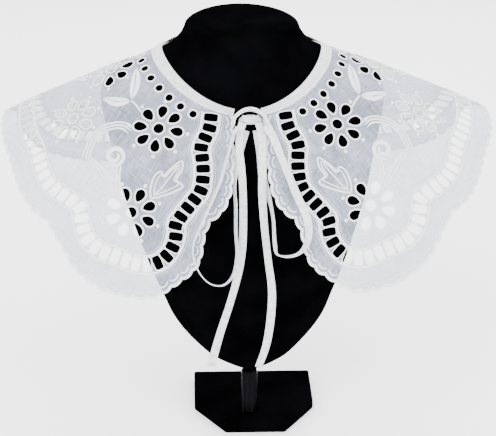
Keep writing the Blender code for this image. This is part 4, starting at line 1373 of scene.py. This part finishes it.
# The bust and its stand

def bust_loops(around):
    """Loops of the bust as in the solid: ovals whose height dips towards the front."""
    turn = 2 * np.pi * np.arange(around) / around
    half, front, back, z_side, z_front, z_back, square = (column[:, None] for column in BUST.T)
    ahead, aside = np.cos(turn)[None], np.sin(turn)[None]
    shape = (np.abs(ahead) ** square + np.abs(aside) ** square) ** (-1 / square)
    middle = np.where(z_side > 330, NECK_MIDDLE_Y, (front + back) / 2 + 8)
    depth = np.where(ahead > 0, middle - front, back - middle)
    drop = np.clip(ahead, 0, None) ** 1.6 * (z_side - z_front)
    rise = np.clip(-ahead, 0, None) ** 1.6 * (z_back - z_side)
    height = z_side - drop + rise + 0 * aside
    return np.stack([half * aside * shape, middle - depth * ahead * shape, height], -1)


def keep_behind(points):
    """Points moved in from the cloth and the binding, where they come nearer than the gap.

    Each point's height over its nearest point of the sheet, along the facing there, says how far it
    is pushed. The left half is folded onto the right one meanwhile.
    """
    sheets = [
        (drape, np.linspace(COLLAR_TOP, 150, 90), WALL / 2 + GAP + 0.1),
        (tape_surface, np.linspace(0, 1, 14), BINDING_THICK / 2 + GAP + 0.1),
    ]
    folded = np.stack([np.abs(points[:, 0]), points[:, 1], points[:, 2]], -1)
    for _ in range(3):
        for sheet, steps, bound in sheets:
            angle, place = np.meshgrid(np.linspace(6, 180, 140), steps, indexing="ij")
            cloth = sheet(angle, place)
            facing = unit(np.cross(np.gradient(cloth, axis=0), np.gradient(cloth, axis=1)))
            facing = facing * np.sign(facing[70, len(steps) // 2, 2])
            cloth, facing = cloth.reshape(-1, 3), facing.reshape(-1, 3)
            away = ((folded[:, None] - cloth[None]) ** 2).sum(-1)
            near = away.argmin(axis=1)
            place = near % len(steps)
            beside = (place > 0) & (place < len(steps) - 1) & (near >= len(steps))
            height = np.einsum("ij,ij->i", folded - cloth[near], facing[near])
            push = np.where(beside & (away.min(axis=1) < 400), np.clip(height + bound, 0, None), 0)
            folded = folded - push[:, None] * facing[near]
    return np.where(points[:, :1] < 0, folded * [-1, 1, 1], folded)


def build_bust(velvet):
    """Smooth bust: the solid's loops kept behind the cloth, then a cubic through them both ways."""
    around, fine = 36, 4
    loops = bust_loops(around)
    points = keep_behind(loops.reshape(-1, 3)).reshape(loops.shape)
    points = smooth_rows(points, 5)
    wrapped = np.concatenate([points[:, -2:], points, points[:, :3]], axis=1).transpose(1, 0, 2)
    ring = smooth_rows(wrapped, fine)[2 * fine : (2 + around) * fine].transpose(1, 0, 2).copy()
    low = np.clip(1 - (ring[..., 2] - BUST_BOTTOM) / BUST_LEAN_UP_TO, 0, 1)
    ring[..., 0] += BUST_LEAN * low**1.5
    rings, count = ring.shape[:2]
    faces = skin(rings, count)
    n, k = np.meshgrid(np.arange(rings), np.arange(count), indexing="ij")
    uv = 2.0 * np.stack([k, n], -1).reshape(-1, 2)
    bust = make_piece("velvet_bust", ring.reshape(-1, 3), faces, uv, velvet)
    outward(bust)
    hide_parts("bust")
    return bust


set_camera()
WEAVE, THREAD = weave_group(), thread_group()
VOILE, SATIN, TAPE, VELVET = voile_look(WEAVE), satin_look(THREAD), tape_look(WEAVE), velvet_look()
build_ties(TAPE)
build_knot(TAPE)
set_stage()
build_bust(VELVET)
HOLES = hole_loops()
GROUPS = hole_loops(LADDER_RIM / 2)[:1] + hole_loops(ROUND_RIM / 2)[1:]
HEM_LINE, HEM_ARCS = hem_line()
FLAT, TRIANGLES = cut_cloth([loop for group in HOLES for loop in group], HEM_LINE)
build_tape(TAPE, SATIN)
for SIDE, NAME in ((1, "right"), (-1, "left")):
    CLOTH, TRIMS = build_collar(
        SIDE, NAME, FLAT, TRIANGLES, GROUPS, HEM_LINE, HEM_ARCS, VOILE, SATIN
    )
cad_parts["base_plate"].data.materials.clear()
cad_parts["base_plate"].data.materials.append(VELVET)
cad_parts["stem"].data.materials.clear()
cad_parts["stem"].data.materials.append(stem_look())
